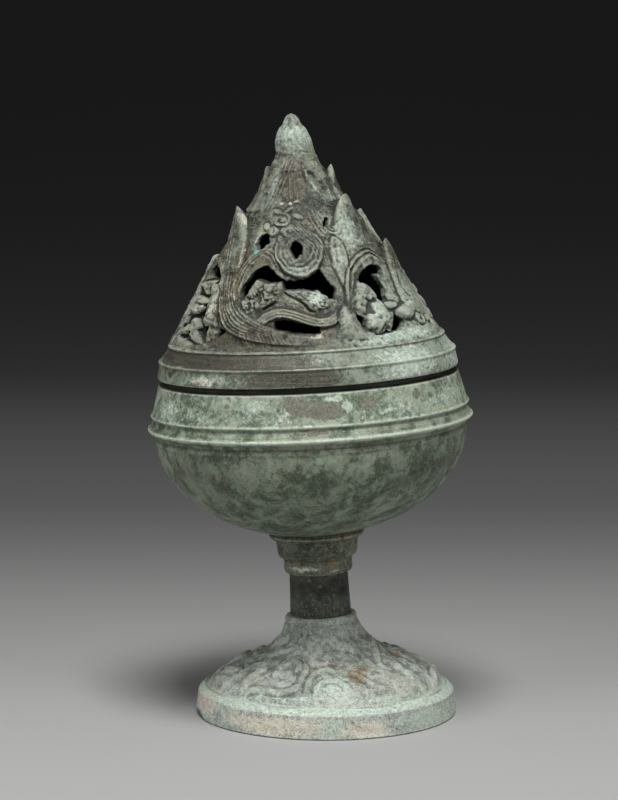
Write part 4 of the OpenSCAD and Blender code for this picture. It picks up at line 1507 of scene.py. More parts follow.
@dataclass
class HillLid:
    """Openwork mountain of the lid: overlapping peaks, with beasts and figures between them."""

    wall: float = 2.6
    ground: float = -0.5
    row_step: float = 0.36
    fine_az: float = 0.5
    coarse_az: float = 0.6
    fine_half: float = 100.0
    side_steps: int = 2000
    ragged: float = 0.35
    thinned: float = 0.4
    lumps: float = 0.2
    grain: float = 0.12
    smoothed: float = 0.75
    split_z: tuple[float, float] = (160.0, 184.5)
    recess: float = -1.9
    recess_edge: float = 1.4
    # painted shade in the deep recesses: its weight, and the sheet heights over which it fades in
    recess_shade: float = 0.85
    recess_shade_span: tuple[float, float] = (-0.5, -1.5)
    petal_span: tuple[float, float] = (194.0, 199.0)
    nod: float = -1.2
    nod_span: tuple[float, float] = (185.0, 205.0)
    sharp: float = 65.0
    # reach and weight of heights over the neighbourhood, which place painted highlight on edges and painted
    # shade in hollows
    wear_and_shading: tuple[tuple[int, float], ...] = ((3, 2.6), (10, 0.7))
    least_r: float = 0.15
    least_inner_r: float = 0.1
    cap_rise: float = 0.3
    back_az: float = 175.0
    side: Points = (
        (130.6, 46.8), (131.2, 46.8), (135.8, 43.9), (145.9, 38.3), (157.6, 31.2), (166.0, 25.2),
        (173.3, 19.6), (180.7, 13.8), (185.7, 11.1), (190.7, 8.6), (192.7, 7.8), (195.7, 6.9), (199.5, 6.0),
        (202.0, 5.0), (203.4, 4.2), (204.6, 3.6), (206.0, 3.0), (207.0, 2.3), (207.6, 1.4), (207.8, 0.6),
    )
    patches: tuple[Patch, ...] = (
        *ovals(Stain.BROWN, (-43, 152, 9, 17, 1.3), (-70, 165, 20, 12, 0.9), (-60, 142, 14, 10, 0.6),
               (-20, 136, 40, 5, 1.2), (-5, 143, 20, 4.5, 1.0), (-22, 150, 10, 5, 0.9), (-6, 186, 28, 9, 1.2),
               (-28, 161, 12, 5, 0.9), (8, 172, 14, 6, 0.8), (70, 160, 16, 10, 0.75), (10, 141, 10, 3, 0.9),
               (62, 172, 14, 10, 0.7), (36, 158, 6, 3, 0.8), (225, 150, 30, 16, 0.8)),
        *ovals(Stain.MINT, (40, 168, 14, 9, 0.8), (24, 160, 6, 8, 0.6), (-2, 157, 14, 3.5, 0.62),
               (0, 200.6, 400, 8.4, 0.68), (45, 133, 40, 4, 1.0), (36, 142, 9, 8, 0.85),
               (52, 147, 12, 8, 0.6), (19, 140, 6, 6, 0.6), (-36, 167, 6, 4, 0.7), (-44, 184, 14, 9, 0.7),
               (-18, 171, 12, 4, 0.55), (24, 184, 8, 5, 0.8), (6.4, 147, 6, 4, 1.0), (0, 149.4, 10, 1.4, 0.5),
               (150, 160, 50, 26, 0.6), (58, 148, 36, 26, 0.58)),
        *ovals(Stain.CREAM, (-55, 171.5, 9, 2.0, 1.0), (-44, 162, 4, 6, 0.7), (-22, 178.2, 5, 0.7, 1.3),
               (-11, 178.1, 4, 0.7, 1.3), (-2, 178.8, 6, 0.6, 1.2), (17, 187.6, 5, 4, 0.85),
               (26, 183, 7, 1.8, 0.85), (-53, 145.5, 6, 7, 0.85), (-66, 144, 16, 9, 0.75),
               (80, 135.4, 6, 2, 1.0), (-20, 199.5, 30, 2.5, 0.6), (5, 135.5, 4, 2, 0.9),
               (30, 137, 4, 2, 0.5)),
        *ovals(Stain.RUST, (48, 150, 5, 4, 0.6)),
        *ovals(Stain.TURQUOISE, (-34, 163, 3, 1.5, 1.0), (40, 133.5, 3, 1.5, 0.9)),
        *ovals(Stain.SOOT_AND_SHADE, (-4, 184, 30, 9, 0.46), (-62, 182, 34, 10, 0.38), (-16, 135.6, 34, 5, 0.6),
               (-5, 168, 22, 9, 0.26), (72, 160, 20, 16, 0.2)),
    )
    openings: tuple[Points, ...] = (
        ((-55.8, 152), (-54.2, 152.9), (-58.4, 155.7), (-63.8, 157.6), (-73, 158.3), (-81, 157.3),
         (-83, 155.8), (-80, 154.6), (-71, 154.1), (-63.8, 153.8), (-61, 153.4)),
        ((-56.6, 140), (-54.4, 138.6), (-52.4, 136.4), (-54.4, 136), (-57, 137.6)),
        ((-42.6, 138.6), (-39.4, 137.9), (-42, 136), (-43, 136.6)),
        ((-36.5, 150.5), (-35.5, 153), (-33.5, 155.2), (-30, 157.2), (-26, 158.3), (-22, 158.4), (-18.5, 157),
         (-14.5, 155.2), (-12, 154.6), (-8.5, 153.6), (-4, 153.6), (0, 153.9), (3.5, 154.2), (6.5, 155.4),
         (9.5, 156.6), (12, 155.8), (14, 153.6), (16, 151.6), (17.8, 150.3), (17, 148.2), (15.3, 146.9),
         (12.5, 148), (10, 149), (8, 149.9), (4, 150.2), (1, 150.6), (-3, 150.7), (-7.5, 150.7), (-9.5, 151),
         (-10.8, 152), (-11.5, 153.4), (-12.8, 153.5), (-15, 153), (-17, 153.2), (-19, 153.1), (-21, 153.4),
         (-23, 153.8), (-25.5, 154.2), (-28, 154), (-29.8, 152.2), (-31.5, 149.8), (-34.5, 147.9)),
        ((-14.2, 141), (-10, 141.3), (-7, 141), (-2, 140), (3, 139), (6.5, 138.6), (6.6, 137.6), (6.5, 136.6),
         (0, 136.7), (-6, 137.2), (-12, 138), (-13.9, 138.8)),
        ((33.2, 151.8), (37, 154.6), (42.8, 156.4), (48.4, 156.7), (55, 155.8), (55, 153.7), (52.6, 152.2),
         (49.6, 153.4), (47.6, 152.8), (48.4, 150.4), (49.4, 148.8), (47.8, 146.6), (47, 145), (42.8, 144.5),
         (40.8, 145.7), (40.8, 147.8), (38, 150.4), (35.4, 151.4)),
        ((48.4, 141.5), (48, 139.9), (50.6, 138.8), (51.6, 137.5), (50, 136), (46, 135), (41.8, 135.2),
         (41.8, 136.3), (45, 138.1), (46.4, 140.4)),
        ((25.2, 140.6), (28.2, 140.5), (29, 139.6), (27.8, 137.3), (26.2, 138.6)),
        ((-8, 163.5), (-6.5, 165.6), (-2.5, 166), (0.8, 164.8), (1, 162.6), (-1.5, 161.2), (-3.8, 160.6),
         (-6.2, 162)),
        ((-37.5, 165.4), (-36, 168), (-32, 168.8), (-28, 168.2), (-25.8, 166), (-28.5, 164.6), (-33, 163.3),
         (-36, 164.6)),
        ((21, 170.2), (23.5, 172.2), (27.8, 172.9), (28.3, 172.2), (26, 170.6), (23, 170.1)),
    )
    peaks: tuple[Peak, ...] = (
        Peak((66, 140), (77, 161.6), 7.0, 1.3, 3.0, 0, 0.42),
        Peak((118, 136), (122, 171.5), 9.0, 3.0, 3.4),
        Peak((170, 131), (172, 161.5), 8.5, 2.6, 3.0),
        Peak((172, 151), (178, 174.5), 8.0, 2.6, 3.0),
        Peak((221, 137), (226, 173), 9.0, 2.8, 3.2),
        Peak((-92, 131), (-94, 161), 8.5, 0.6, 0.8, 1),
        Peak((72, 170), (80, 187.4), 4.6, 1.6, 3.2, 0, 0.5),
        Peak((-70, 172), (-82, 190), 4.2, 0.3, 1.8, 1),
        Peak((150, 163), (156, 187.4), 5.8, 1.6, 2.4),
        Peak((-128, 163), (-134, 187.8), 5.8, 1.6, 2.4),
        Peak((-55, 157), (-64, 173.4), 6.8, 3.8, 5.2, 0, 0.62),
        Peak((36, 156), (53, 175.6), 7.2, 2.4, 5.0, 0, 0.42),
    )
    recesses: tuple[Points, ...] = (
        ((-52.5, 151.8), (-58, 153.4), (-70, 154), (-84, 152), (-88, 146), (-86, 138), (-80, 135),
         (-64, 133.6), (-50, 133.8), (-43, 136.2), (-46.4, 141), (-49.6, 147)),
        ((25.4, 138.6), (25.6, 146), (28.4, 150.4), (34, 152.4), (41, 148), (43.4, 143), (46, 139.6),
         (42, 135), (29, 134.8)),
    )
    side_arches: tuple[Triple, ...] = ((93, 13, -1.0), (145, 15, 1.0), (196, 14, -1.0), (246, 13.4, 1.0))
    side_holes: tuple[Triple, ...] = ((102, 166.9, 2.0), (152, 166.2, 2.3), (204, 167.7, 2.0))
    crescent: Points = (
        (0.95, 0.0), (1.05, 0.4), (0.75, 0.85), (0.3, 1.0), (0.4, 0.8), (0.55, 0.4), (0.6, 0.0),
    )
    crescent_z: float = 136.4
    side_rise: float = 13.0
    back_rise: float = 3.6
    back_half: float = 60.0

    def wall_r(self, z: Array) -> Array:
        """Radius of the mountain's wall at a height."""
        heights, radii = np.array(self.side).T
        return hermite(np.clip(np.asarray(z, float), heights[0], heights[-1]), heights, radii)

    def draw(self) -> Relief:
        """Draws the mountain on one sheet: recesses, peaks, scenes, openings and the casting's grain."""
        front = np.arange(-self.fine_half, self.fine_half, self.fine_az)
        back = np.arange(self.fine_half, 360.0 - self.fine_half - self.coarse_az * 0.5, self.coarse_az)
        fine_z = np.linspace(self.side[0][0], self.side[-1][0], self.side_steps)
        fine_r = self.wall_r(fine_z)
        run = np.concatenate([[0.0], np.cumsum(np.hypot(np.diff(fine_r), np.diff(fine_z)))])
        z = np.interp(np.arange(0.0, run[-1], self.row_step), run, fine_z)
        relief = Relief(np.concatenate([front, back]), self.wall_r(z), z)
        for outline in self.recesses:
            relief.plateau(outline, self.recess, self.recess_edge, False)
        for peak in self.peaks:
            relief.leaf(peak)
        self.left_peak(relief)
        self.left_scene(relief)
        self.roundel(relief)
        self.upper_front(relief)
        self.ground_wave(relief)
        self.lying_beast(relief)
        self.scaly_disc(relief)
        self.right_front(relief)
        self.sides(relief)
        for outline in self.openings:
            relief.opening(outline)
        self.summit(relief)
        relief.gap += self.ragged * relief.noise(1.3) * smooth(-2.0, -0.4, relief.gap)
        relief.out -= self.thinned * smooth(-0.8, 0.1, relief.gap) ** 2
        polished = 1.0 - self.smoothed * smooth(*self.petal_span, relief.z)
        relief.out += polished * (self.lumps * relief.noise(2.3) + self.grain * relief.noise(1.0))
        return relief

    def summit(self, relief: Relief) -> None:
        """Draws the bud at the top: six petals with round ends round it, and a creased leaf up its front."""
        petal = np.abs(np.cos(np.radians((relief.az + 24.0) * 3.0)))
        end = 201.2 + 2.4 * petal
        raised = 0.6 * petal**0.6 - 0.1
        relief.out += raised * smooth(*self.petal_span, relief.z) * smooth(0.8, -0.6, relief.z - end)
        groove_z = 194.6 + 0.5 * np.sin(np.radians(relief.az * 3.0))
        relief.out -= 0.14 * np.exp(-(((relief.z - groove_z) / 0.7) ** 2))
        front = relief.across(6.0)
        relief.out += 0.35 * np.exp(-((front / 1.6) ** 2)) * smooth(197.0, 202.0, relief.z)
        crease = relief.across(-20.0)
        creased = smooth(197.0, 200.0, relief.z) * smooth(206.8, 205.0, relief.z)
        relief.out -= 0.3 * np.exp(-((crease / 0.28) ** 2)) * creased

    def left_peak(self, relief: Relief) -> None:
        """Draws the ribs that sweep up from the base into the tall peak at the left."""
        near = np.array((
            (-62, 158.6), (-54.6, 153.4), (-49.4, 148), (-45, 143.6), (-38.4, 139), (-29, 136.4),
            (-18, 134.6), (-6, 133.6), (6, 133.2),
        ))
        far = np.array((
            (-47, 162), (-43, 156.4), (-40, 151), (-35.4, 146.8), (-29, 143.4), (-21, 140.6),
            (-14.4, 138.9), (-4, 136.6), (8, 135),
        ))
        relief.ridges(0.5 * (near + far), (0.0,), 3.8, 0.6, 0.25)
        relief.ridges(near, (0.0,), 0.5, 0.8, 0.2)
        for share in (0.16, 0.31, 0.46, 0.61, 0.76, 0.9):
            relief.ridges(near + share * (far - near), (0.0,), 0.4, 0.6, 0.2)
        rise = ((-50, 152), (-54, 157), (-59, 163), (-63, 168), (-66, 172))
        relief.ridges(rise, (2.6, 1.3, 0.0, -1.3), 0.4, 0.35)
        relief.ridges(((-43, 158), (-44.6, 162), (-48, 167), (-55, 171.5)), (0.0,), 1.0, 0.5)
        relief.ridges(((-92, 155.4), (-82.8, 158.8), (-72, 159.6), (-66, 159.2), (-59.4, 157.4), (-55, 154.4),
                       (-52.4, 151.4)), (0.0, 1.1), 0.42, 0.5)
        relief.ridges(((-38, 150), (-37.5, 155), (-34.5, 159), (-29, 161.6), (-24, 161.4), (-20, 159.5),
                       (-16.5, 156.6)), (0.0, 1.4, 2.6), 0.5, 0.65)
        for tick in np.arange(-30.0, -6.0, 1.7).tolist():
            relief.ridges(((tick, 137.4), (tick + 2.6, 134.2)), (0.0,), 0.24, 0.3)

    def left_scene(self, relief: Relief) -> None:
        """Draws the figures and beasts in the recess at the left."""
        for outline, height, edge in (
            (((-61.6, 151.8), (-56.8, 152.1), (-52.6, 150.6), (-49.6, 146.8), (-47.4, 142.4), (-44.8, 139.4),
              (-49.8, 139.4), (-56.8, 140.2), (-57.2, 142.7), (-58.2, 146.2), (-60, 149.3)), 1.2, 1.9),
            (((-49.4, 138.8), (-44, 138.4), (-43.4, 136.7), (-44.8, 135.2), (-48, 134.6), (-50.4, 136.4)),
             1.0, 1.2),
            (((-88, 151.4), (-73, 152.9), (-61.4, 153.6), (-62.8, 152.2), (-65.2, 150.8), (-65.6, 149),
              (-71.8, 150.6)), 0.8, 0.7),
            (((-78.6, 147.7), (-68.4, 148), (-60.2, 146.8), (-63.6, 145.9), (-70.8, 146.2)), 0.8, 0.6),
            (((-78.4, 145), (-68.8, 145.6), (-62.4, 145.2), (-62.8, 143.7), (-68.4, 142.6), (-75.2, 143)),
             0.9, 0.7),
            (((-68, 141.2), (-61.8, 140.7), (-58, 139.2), (-59, 137.4), (-56, 135.7), (-50.8, 133.9),
              (-56, 133.8), (-61, 135), (-65.4, 137.2), (-67.2, 139.4)), 0.9, 0.8),
        ):
            relief.plateau(outline, height, edge)
        for az, z, wide, tall, height in (
            (-84, 143.4, 1.2, 1.4, 0.9), (-80, 139.8, 1.3, 1.6, 0.9), (-77, 136.6, 1.6, 1.4, 0.7),
            (-72, 137.4, 1.2, 2.0, 0.6),
        ):
            relief.blob(az, z, wide, tall, height)
        for line, depth in (
            (((-58.6, 150.6), (-56.2, 146), (-54, 141.4)), -0.35),
            (((-55, 151), (-52.4, 147), (-50, 142)), -0.35),
            (((-63, 139.8), (-63.4, 137.6), (-60, 136)), -0.5), (((-48.6, 137.8), (-46.6, 136.2)), -0.3),
            (((-69, 149.8), (-66, 151.6), (-63, 152.8)), -0.3),
            (((-74, 144.4), (-68.6, 144.2), (-64.4, 144.6)), -0.3),
            (((-57.4, 142.6), (-53, 141.6), (-48, 141.2)), -0.4),
            (((-76, 147), (-70, 147.2), (-64, 146.6)), -0.3),
            (((-66, 140.6), (-61.6, 139.4), (-60, 138)), 0.3),
            (((-84, 151.8), (-74, 152), (-66, 152.4)), -0.3),
        ):
            relief.ridges(line, (0.0,), 0.35, depth)
        relief.roughen(self.recesses[0], 0.7)

    def roundel(self, relief: Relief) -> None:
        """Draws the worn roundel: a disc that fades upwards, with three rings."""
        x, y = relief.from_point(-1.4, 163.3)
        far = np.hypot(x / 8.0, y / np.where(y < 0.0, 10.4, 8.0)) + 0.08 * relief.noise(3.0)
        lower = 0.3 + 0.7 * smooth(0.5, -0.3, y / 8.0)
        disc = 1.2 * smooth(1.1, 0.92, far) * lower
        for ring in (0.96, 0.74, 0.56):
            disc += 0.65 * relief.worn * np.exp(-(((far - ring) / 0.06) ** 2)) * lower
        relief.cover(disc, disc > 0.0)

    def upper_front(self, relief: Relief) -> None:
        """Draws the scrolls and the streaked face above the roundel, and the folds and pod beside it."""
        for az, z, radius in ((-18.2, 173, 3.2), (-9.8, 169.4, 2.6), (-24, 169.4, 2.0)):
            self.scroll(relief, az, z, radius, 0.8)
        for az, z, wide, tall, height, turn in (
            (-32, 171, 1.2, 1.9, 0.9, 30), (-13, 176, 1.0, 2.2, 0.8, -50), (-2, 174, 1.2, 2.4, 0.8, 60),
            (-16, 166.8, 1.1, 1.8, 0.9, 20), (-24, 175.6, 1.0, 2.2, 0.8, 60),
        ):
            relief.blob(az, z, wide, tall, height, turn)
        relief.ridges(((-4.4, 171.7), (2, 169.2), (7.4, 166.7), (12, 164), (14.4, 158)),
                      (-2.0, -1.0, 0.0, 1.0, 2.0), 0.34, 0.4)
        relief.ridges(((9.2, 175.9), (11, 172.6), (16.4, 168.4), (20.4, 166.7)), (0.0, 1.4), 0.5, 0.6)
        relief.ridges(((12, 176.6), (18, 173.6), (24, 168.8), (31, 168), (36, 170.4)), (0.0, 1.4), 0.5, 0.5)
        lens = (
            (24, 143.5), (21.5, 150), (19.4, 156), (19, 161.5), (21.4, 165.6), (26, 167.6), (30.6, 166),
            (32, 162), (30.6, 157), (28, 151), (25.6, 146.5),
        )
        relief.plateau(lens, 0.9, 0.8, False)
        relief.ridges(lens + lens[:1], (-0.5,), 0.4, -0.8, 0.01)
        for top, low in ((-32, -34), (-25, -24), (-18, -12), (-14, -2), (-5, 4), (3, 14), (11, 19)):
            streak = ((top, 192.4), (0.6 * top + 0.4 * low, 186), (low, 178.6))
            relief.ridges(streak, (0.0,), 0.4, 0.34, 0.25)
        relief.ridges(((-26, 178.2), (-18.2, 178.2), (-13.8, 179.2), (-10.8, 177.9), (-4.8, 178.5),
                       (3.4, 179.4)), (0.0,), 0.4, 0.45)
        relief.ridges(((16.2, 191.4), (15.8, 187.7), (20.6, 184.7), (28.4, 182.5), (33.2, 179.5),
                       (36.4, 176.4)), (0.0,), 0.8, 1.1)
        relief.ridges(((24, 189.4), (30, 187.8), (37.4, 186.6), (44.8, 184), (47, 180.8)), (0.0,), 1.2, -1.0,
                      0.2)
        relief.ridges(((42, 192), (48, 187.7), (52.2, 182.9), (49.8, 177.9)), (0.0, 1.3), 0.5, 0.7)
        facet = (
            (-84, 192), (-92, 184), (-94, 176.4), (-51, 176.2), (-57, 182.3), (-47.4, 189.7), (-50, 192.4),
        )
        relief.plateau(facet, 0.6, 0.9, False)
        relief.ridges(((-30, 193), (-38, 186), (-43, 181), (-46, 176)), (0.0, 1.5, 3.0), 0.45, 0.6)
        relief.ridges(((-56, 190), (-66, 184), (-72, 178)), (0.0, 1.6, 3.2), 0.4, 0.2)
        relief.ridges(((58, 191), (62, 186), (64, 180), (60, 175)), (0.0, 1.2), 0.4, 0.35)

    def scroll(self, relief: Relief, az: float, z: float, radius: float, height: float) -> None:
        """Raises a small cloud scroll: a round swelling, with a spiral line cut in it by a cosine.

        Args:
            relief: Sheet to draw on.
            az: Azimuth of its middle.
            z: Height of its middle.
            radius: Radius in mm.
            height: Height in mm.
        """
        x, y = relief.from_point(az, z)
        far = np.hypot(x, y) / radius
        curl = np.cos(far * 7.0 - np.arctan2(y, x) + 3.0 * relief.noise(3.0))
        swell = (height + 0.34 * relief.worn * curl) * smooth(1.2, 0.7, far)
        relief.cover(swell, far < 1.2)

    def ground_wave(self, relief: Relief) -> None:
        """Draws the wave of ground across the front."""
        wave = (
            (-22.6, 139.6), (-20.2, 141.2), (-17, 142.6), (-13.2, 143.4), (-8.6, 143.3), (-3.8, 142.4),
            (1.3, 141), (6.3, 140), (10.9, 140.1), (14.4, 141), (17.4, 142.6),
        )
        trail = relief.trail(wave, 4.0)
        raised = smooth(2.1, 1.3, np.abs(trail.off))
        raised = raised * smooth(0.0, 0.12, trail.along) * smooth(1.0, 0.9, trail.along)
        relief.raise_to(trail.at, raised, raised > 0.0)
        relief.ridges(wave, (-1.1, 0.0, 1.1), 0.34, 0.5)

    def lying_beast(self, relief: Relief) -> None:
        """Draws the rough beast that lies on the wave of ground."""
        beast = (
            (-34, 147.4), (-31, 151), (-29.4, 153), (-27, 154.2), (-21.5, 153.4), (-17, 153.2),
            (-12.6, 153.6), (-10.6, 151.2), (-12, 149.4), (-14.2, 147.4), (-17.4, 146.2), (-20.4, 145),
            (-26, 143.6), (-31, 143.8),
        )
        shape = relief.trail(beast, 3.0, closed=True)
        relief.raise_to(shape.at, smooth(-0.4, 1.4, shape.off), shape.off > -0.4)
        for az, z, wide, tall, height, turn in (
            (-27, 150.4, 2.2, 2.8, 1.7, -30), (-19.6, 150.8, 2.4, 1.8, 1.6, -60),
            (-13, 151.8, 1.3, 1.7, 1.6, 30),
        ):
            relief.blob(az, z, wide, tall, height, turn)
        for line in (
            ((-32, 149.4), (-28.6, 148), (-25.4, 148.8), (-24, 152)),
            ((-23.4, 147), (-21.4, 149.4), (-22, 152)),
            ((-16.6, 152.4), (-16, 150), (-14, 149)), ((-29.6, 147), (-28.4, 145.4), (-28.6, 144.4)),
            ((-26, 147), (-25, 145.4), (-25.4, 144.2)),
        ):
            relief.ridges(line, (0.0,), 0.35, -0.6)
        scaly = np.abs(relief.noise(1.0)).flat[shape.at]
        fur = 0.6 * relief.noise(2.1).flat[shape.at] + 1.1 * (scaly - 0.35)
        relief.out.flat[shape.at] += smooth(0.0, 0.9, shape.off) * fur
        relief.ridges(((-21, 144.7), (-17.4, 145.9), (-13.6, 147.2)), (0.0,), 0.35, -1.5)

    def scaly_disc(self, relief: Relief) -> None:
        """Draws the grainy limb across the front, the scaly disc on it, and the boulder to the right."""
        scaly = np.abs(relief.noise(1.0))
        limb = (
            (-10.8, 151), (-4.4, 150.6), (3.6, 150.2), (8.2, 149.8), (13.6, 147.7), (16.4, 146.4),
            (13, 144.8), (6.4, 144), (2.8, 144.6), (1.2, 145.8), (-1.8, 147.5), (-7, 149.2),
        )
        shape = relief.trail(limb, 3.0, closed=True)
        grainy = smooth(-0.3, 0.9, shape.off) * (0.6 + 1.3 * (scaly.flat[shape.at] - 0.35))
        relief.raise_to(shape.at, grainy, shape.off > -0.3)
        relief.ridges(((-10.8, 150.2), (-7, 148.6), (-1.8, 146.9), (1.2, 145.2), (2.8, 143.9), (6.4, 143.2)),
                      (0.0,), 0.35, -0.9)
        x, y = relief.from_point(6.4, 147.0)
        far = np.hypot(x / 3.6, y / 3.3)
        dome = 1.3 * np.sqrt(np.clip(1.0 - far**2, 0.0, None)) + 1.2 * (scaly - 0.4)
        relief.cover(dome, far < 1.0)
        boulder = (
            (15.2, 136), (15.2, 139.8), (17, 143), (19.8, 145), (22.6, 143.4), (24.6, 140.4), (27, 137.2),
            (31, 134.8), (22, 133.8),
        )
        relief.plateau(boulder, 1.2, 2.4)
        relief.ridges(((15.4, 137), (15, 140), (17, 143), (19.8, 145)), (0.0,), 0.4, -0.5)

    def right_front(self, relief: Relief) -> None:
        """Draws the arch at the right, the beast that stands in it, and the bird and scroll beyond."""
        arch = (
            (25.8, 143), (26.4, 147), (28.4, 151), (32, 154.8), (38.2, 157.8), (46, 159.3), (53, 159),
            (57.4, 156.6),
        )
        relief.ridges(arch, (0.2,), 0.6, 0.6)
        relief.ridges(arch, (1.3, 3.0), 0.35, -0.55)
        relief.ridges(arch, (2.1,), 0.5, 0.4)
        head = (
            (32.4, 151.8), (37, 151), (40, 148.8), (40.4, 146.6), (38.8, 145.5), (34.4, 144.9),
            (31.2, 141.9), (28, 141.3), (26, 143), (25.8, 146.2), (28.2, 149.3),
        )
        rump = (
            (34, 145.3), (39.8, 145.8), (43, 143.6), (43.6, 142), (45.6, 140.5), (44.8, 138.5),
            (40.8, 135.7), (38.2, 136.3), (34.8, 135.4), (30.6, 135.9), (28, 137.3), (29.8, 140.8),
            (32.8, 142.2),
        )
        relief.plateau(head, 1.3, 2.0)
        relief.plateau(rump, 2.0, 2.6)
        relief.plateau(((43, 144.4), (48.4, 144.4), (52, 143.7), (49.8, 142.3), (43.4, 142.2)), 0.9, 0.7)
        relief.plateau(((49, 141.5), (53.4, 142.8), (62.4, 144.7), (67.6, 143.5), (64.2, 140.3), (58.4, 138),
                        (53.8, 138.2), (50.2, 139.3)), 1.6, 1.8)
        for line, depth in (
            (((30.6, 141.6), (34.4, 144.7), (39, 145.4)), -0.6),
            (((34.8, 135.4), (36.4, 136.8), (38, 137.8)), -0.7),
            (((57, 143), (58.6, 141), (62, 140)), -0.4),
            (((76, 158), (68, 154), (64, 149.8), (64, 146.3), (67, 144.2)), -0.5),
            (((30.4, 147), (32.4, 148), (34.8, 147.4)), -0.35),
            (((28.6, 144.4), (31, 144), (33, 145)), -0.35),
        ):
            relief.ridges(line, (0.0,), 0.35, depth)
        for outline in (head, rump):
            relief.roughen(outline, 0.75)
        self.scroll(relief, 65.6, 138.1, 3.0, 0.7)
        self.scroll(relief, 74.5, 137.6, 2.2, 0.6)
        relief.ridges(((22, 132.8), (35, 132.9), (55, 133.2), (75, 133.6), (90, 133.4)),
                      (-0.6, 0.2, 1.0, 1.8), 0.26, 0.24)
        relief.ridges(((52, 160), (60, 157.6), (68, 156), (78, 153)), (0.0, 1.2), 0.4, 0.3)
        relief.ridges(((44, 163), (54, 165), (62, 163), (68, 158)), (0.0, 1.2), 0.4, 0.3)

    def sides(self, relief: Relief) -> None:
        """Draws the arches and holes that go on round the sides and the back, with a beast in each arch."""
        for az, width, hand in self.side_arches:
            half = width / 2.0 / (relief.row_r[0] * np.pi / 180.0)
            arch = (
                (az - half, 136), (az - half * 1.1, 142), (az - half * 0.85, 148), (az - half * 0.3, 151.6),
                (az + half * 0.3, 151.6), (az + half * 0.85, 148), (az + half * 1.1, 142), (az + half, 136),
            )
            relief.plateau(arch, self.recess, self.recess_edge, False)
            relief.ridges(arch, (0.6, 1.7, 2.8), 0.4, 0.6)
            at_back = abs(turn_between(np.array(az), self.back_az)) <= self.back_half
            rise = self.back_rise if at_back else self.side_rise
            for side in (-half, half):
                gap = tuple((az + side * across, self.crescent_z + rise * up) for across, up in self.crescent)
                relief.opening(gap)
            for shift, z, wide, tall, height, turn in (
                (-0.22, 138.4, 2.7, 3.0, 1.0, 20), (0.12, 141.4, 2.0, 3.8, 1.1, -26),
                (0.3, 145.8, 1.9, 1.5, 1.1, 0), (0.5, 145.2, 1.2, 0.8, 0.9, 0),
                (0.22, 147.2, 0.6, 0.9, 0.9, 0), (0.36, 137.6, 0.9, 2.6, 0.9, 0),
                (-0.52, 141, 0.7, 2.4, 0.6, 30),
            ):
                relief.blob(az + hand * shift * half, z, wide, tall, height, hand * turn)
        for az, z, radius in self.side_holes:
            across = radius / (float(self.wall_r(z)) * np.pi / 180.0)
            ring = np.radians(np.arange(0, 360, 45))
            hole = zip((az + across * np.cos(ring)).tolist(), (z + radius * 0.9 * np.sin(ring)).tolist())
            relief.opening(tuple(hole))

    def build(self, finish: Material) -> None:
        """Stands the sheet up as a pierced shell, in pieces that meet edge to edge, and closes the summit."""
        relief = self.draw()
        r = relief.row_r[:, None] + self.ground
        rows, columns = relief.out.shape
        nod = self.nod * smooth(*self.nod_span, relief.z)
        outer = polar(np.maximum(r + relief.out, self.least_r), relief.az, relief.z + relief.up)
        inner = polar(np.maximum(r - self.wall, self.least_inner_r), relief.az, relief.z)
        outer[..., 0] += nod
        hollow = sum(weight * bumps(relief.out, reach) for reach, weight in self.wear_and_shading)
        stains = stains_at(relief.az, relief.z, self.patches)
        # painted shade: the dark stain is deepened where the sheet sinks into recesses
        painted_shade = stains[..., Stain.SOOT_AND_SHADE.value]
        np.maximum(painted_shade, self.recess_shade * smooth(*self.recess_shade_span, relief.out), out=painted_shade)
        low, high = np.searchsorted(relief.row_z, self.split_z)
        first_back = int(np.searchsorted(relief.az[0], self.fine_half))
        fore = np.arange(0, first_back + 1)
        rear = np.concatenate([np.arange(first_back, columns), [0]])
        hills, peaks = np.arange(0, low + 1), np.arange(low, high + 1)
        for name, lines, across in (
            ("lid_hills_front", hills, fore), ("lid_hills_back", hills, rear),
            ("lid_peaks_front", peaks, fore), ("lid_peaks_back", peaks, rear),
        ):
            grid = np.ix_(lines, across)
            shape = (len(lines), len(across))
            quads = ring_faces(*shape).reshape(*shape, 4)[:-1, :-1].reshape(-1, 4)[:, ::-1]
            piece = shell(
                outer[grid].reshape(-1, 3), inner[grid].reshape(-1, 3), relief.gap[grid].ravel(),
                stains[grid].reshape(-1, len(Stain)), hollow[grid].ravel(), quads,
            )
            place(name, piece, Body.LID, "lid_bronze", finish, ("lid",), self.sharp)
        top = outer[high:]
        ends = (self.split_z[1], relief.row_z[-1] + self.cap_rise)
        poles = np.stack([leaning(np.array(0.0), np.array(0.0), np.array(z)) for z in ends])
        poles[:, 0] += nod[-1, 0] * np.array([0.0, 1.0])
        quads, tris = capped_faces(rows - high, columns)
        summit = Surface(
            np.vstack([top.reshape(-1, 3), poles]), quads,
            np.vstack([stains[high:].reshape(-1, len(Stain)), np.zeros((2, len(Stain)))]),
            np.concatenate([hollow[high:].ravel(), [0.0, 0.0]]), tris,
        )
        place("lid_summit", summit, Body.LID, "lid_bronze", finish, ("lid",), self.sharp)


@dataclass(frozen=True)
class Lamp:
    """Square soft light that looks at a point.

    Args:
        name: Name of the light.
        at: Its place in metres.
        to: Point that it looks at.
        size: Side in metres.
        power: Power in watts.
    """

    name: str
    at: Triple
    to: Triple
    size: float
    power: float

    def build(self) -> None:
        """Puts the light in the scene."""
        data = bpy.data.lights.new(self.name, "AREA")
        data.size = self.size
        data.energy = self.power
        lamp = bpy.data.objects.new(self.name, data)
        lamp.location = self.at
        way = Vector(self.to) - Vector(self.at)
        lamp.rotation_euler = way.to_track_quat("-Z", "Y").to_euler()
        bpy.context.scene.collection.objects.link(lamp)


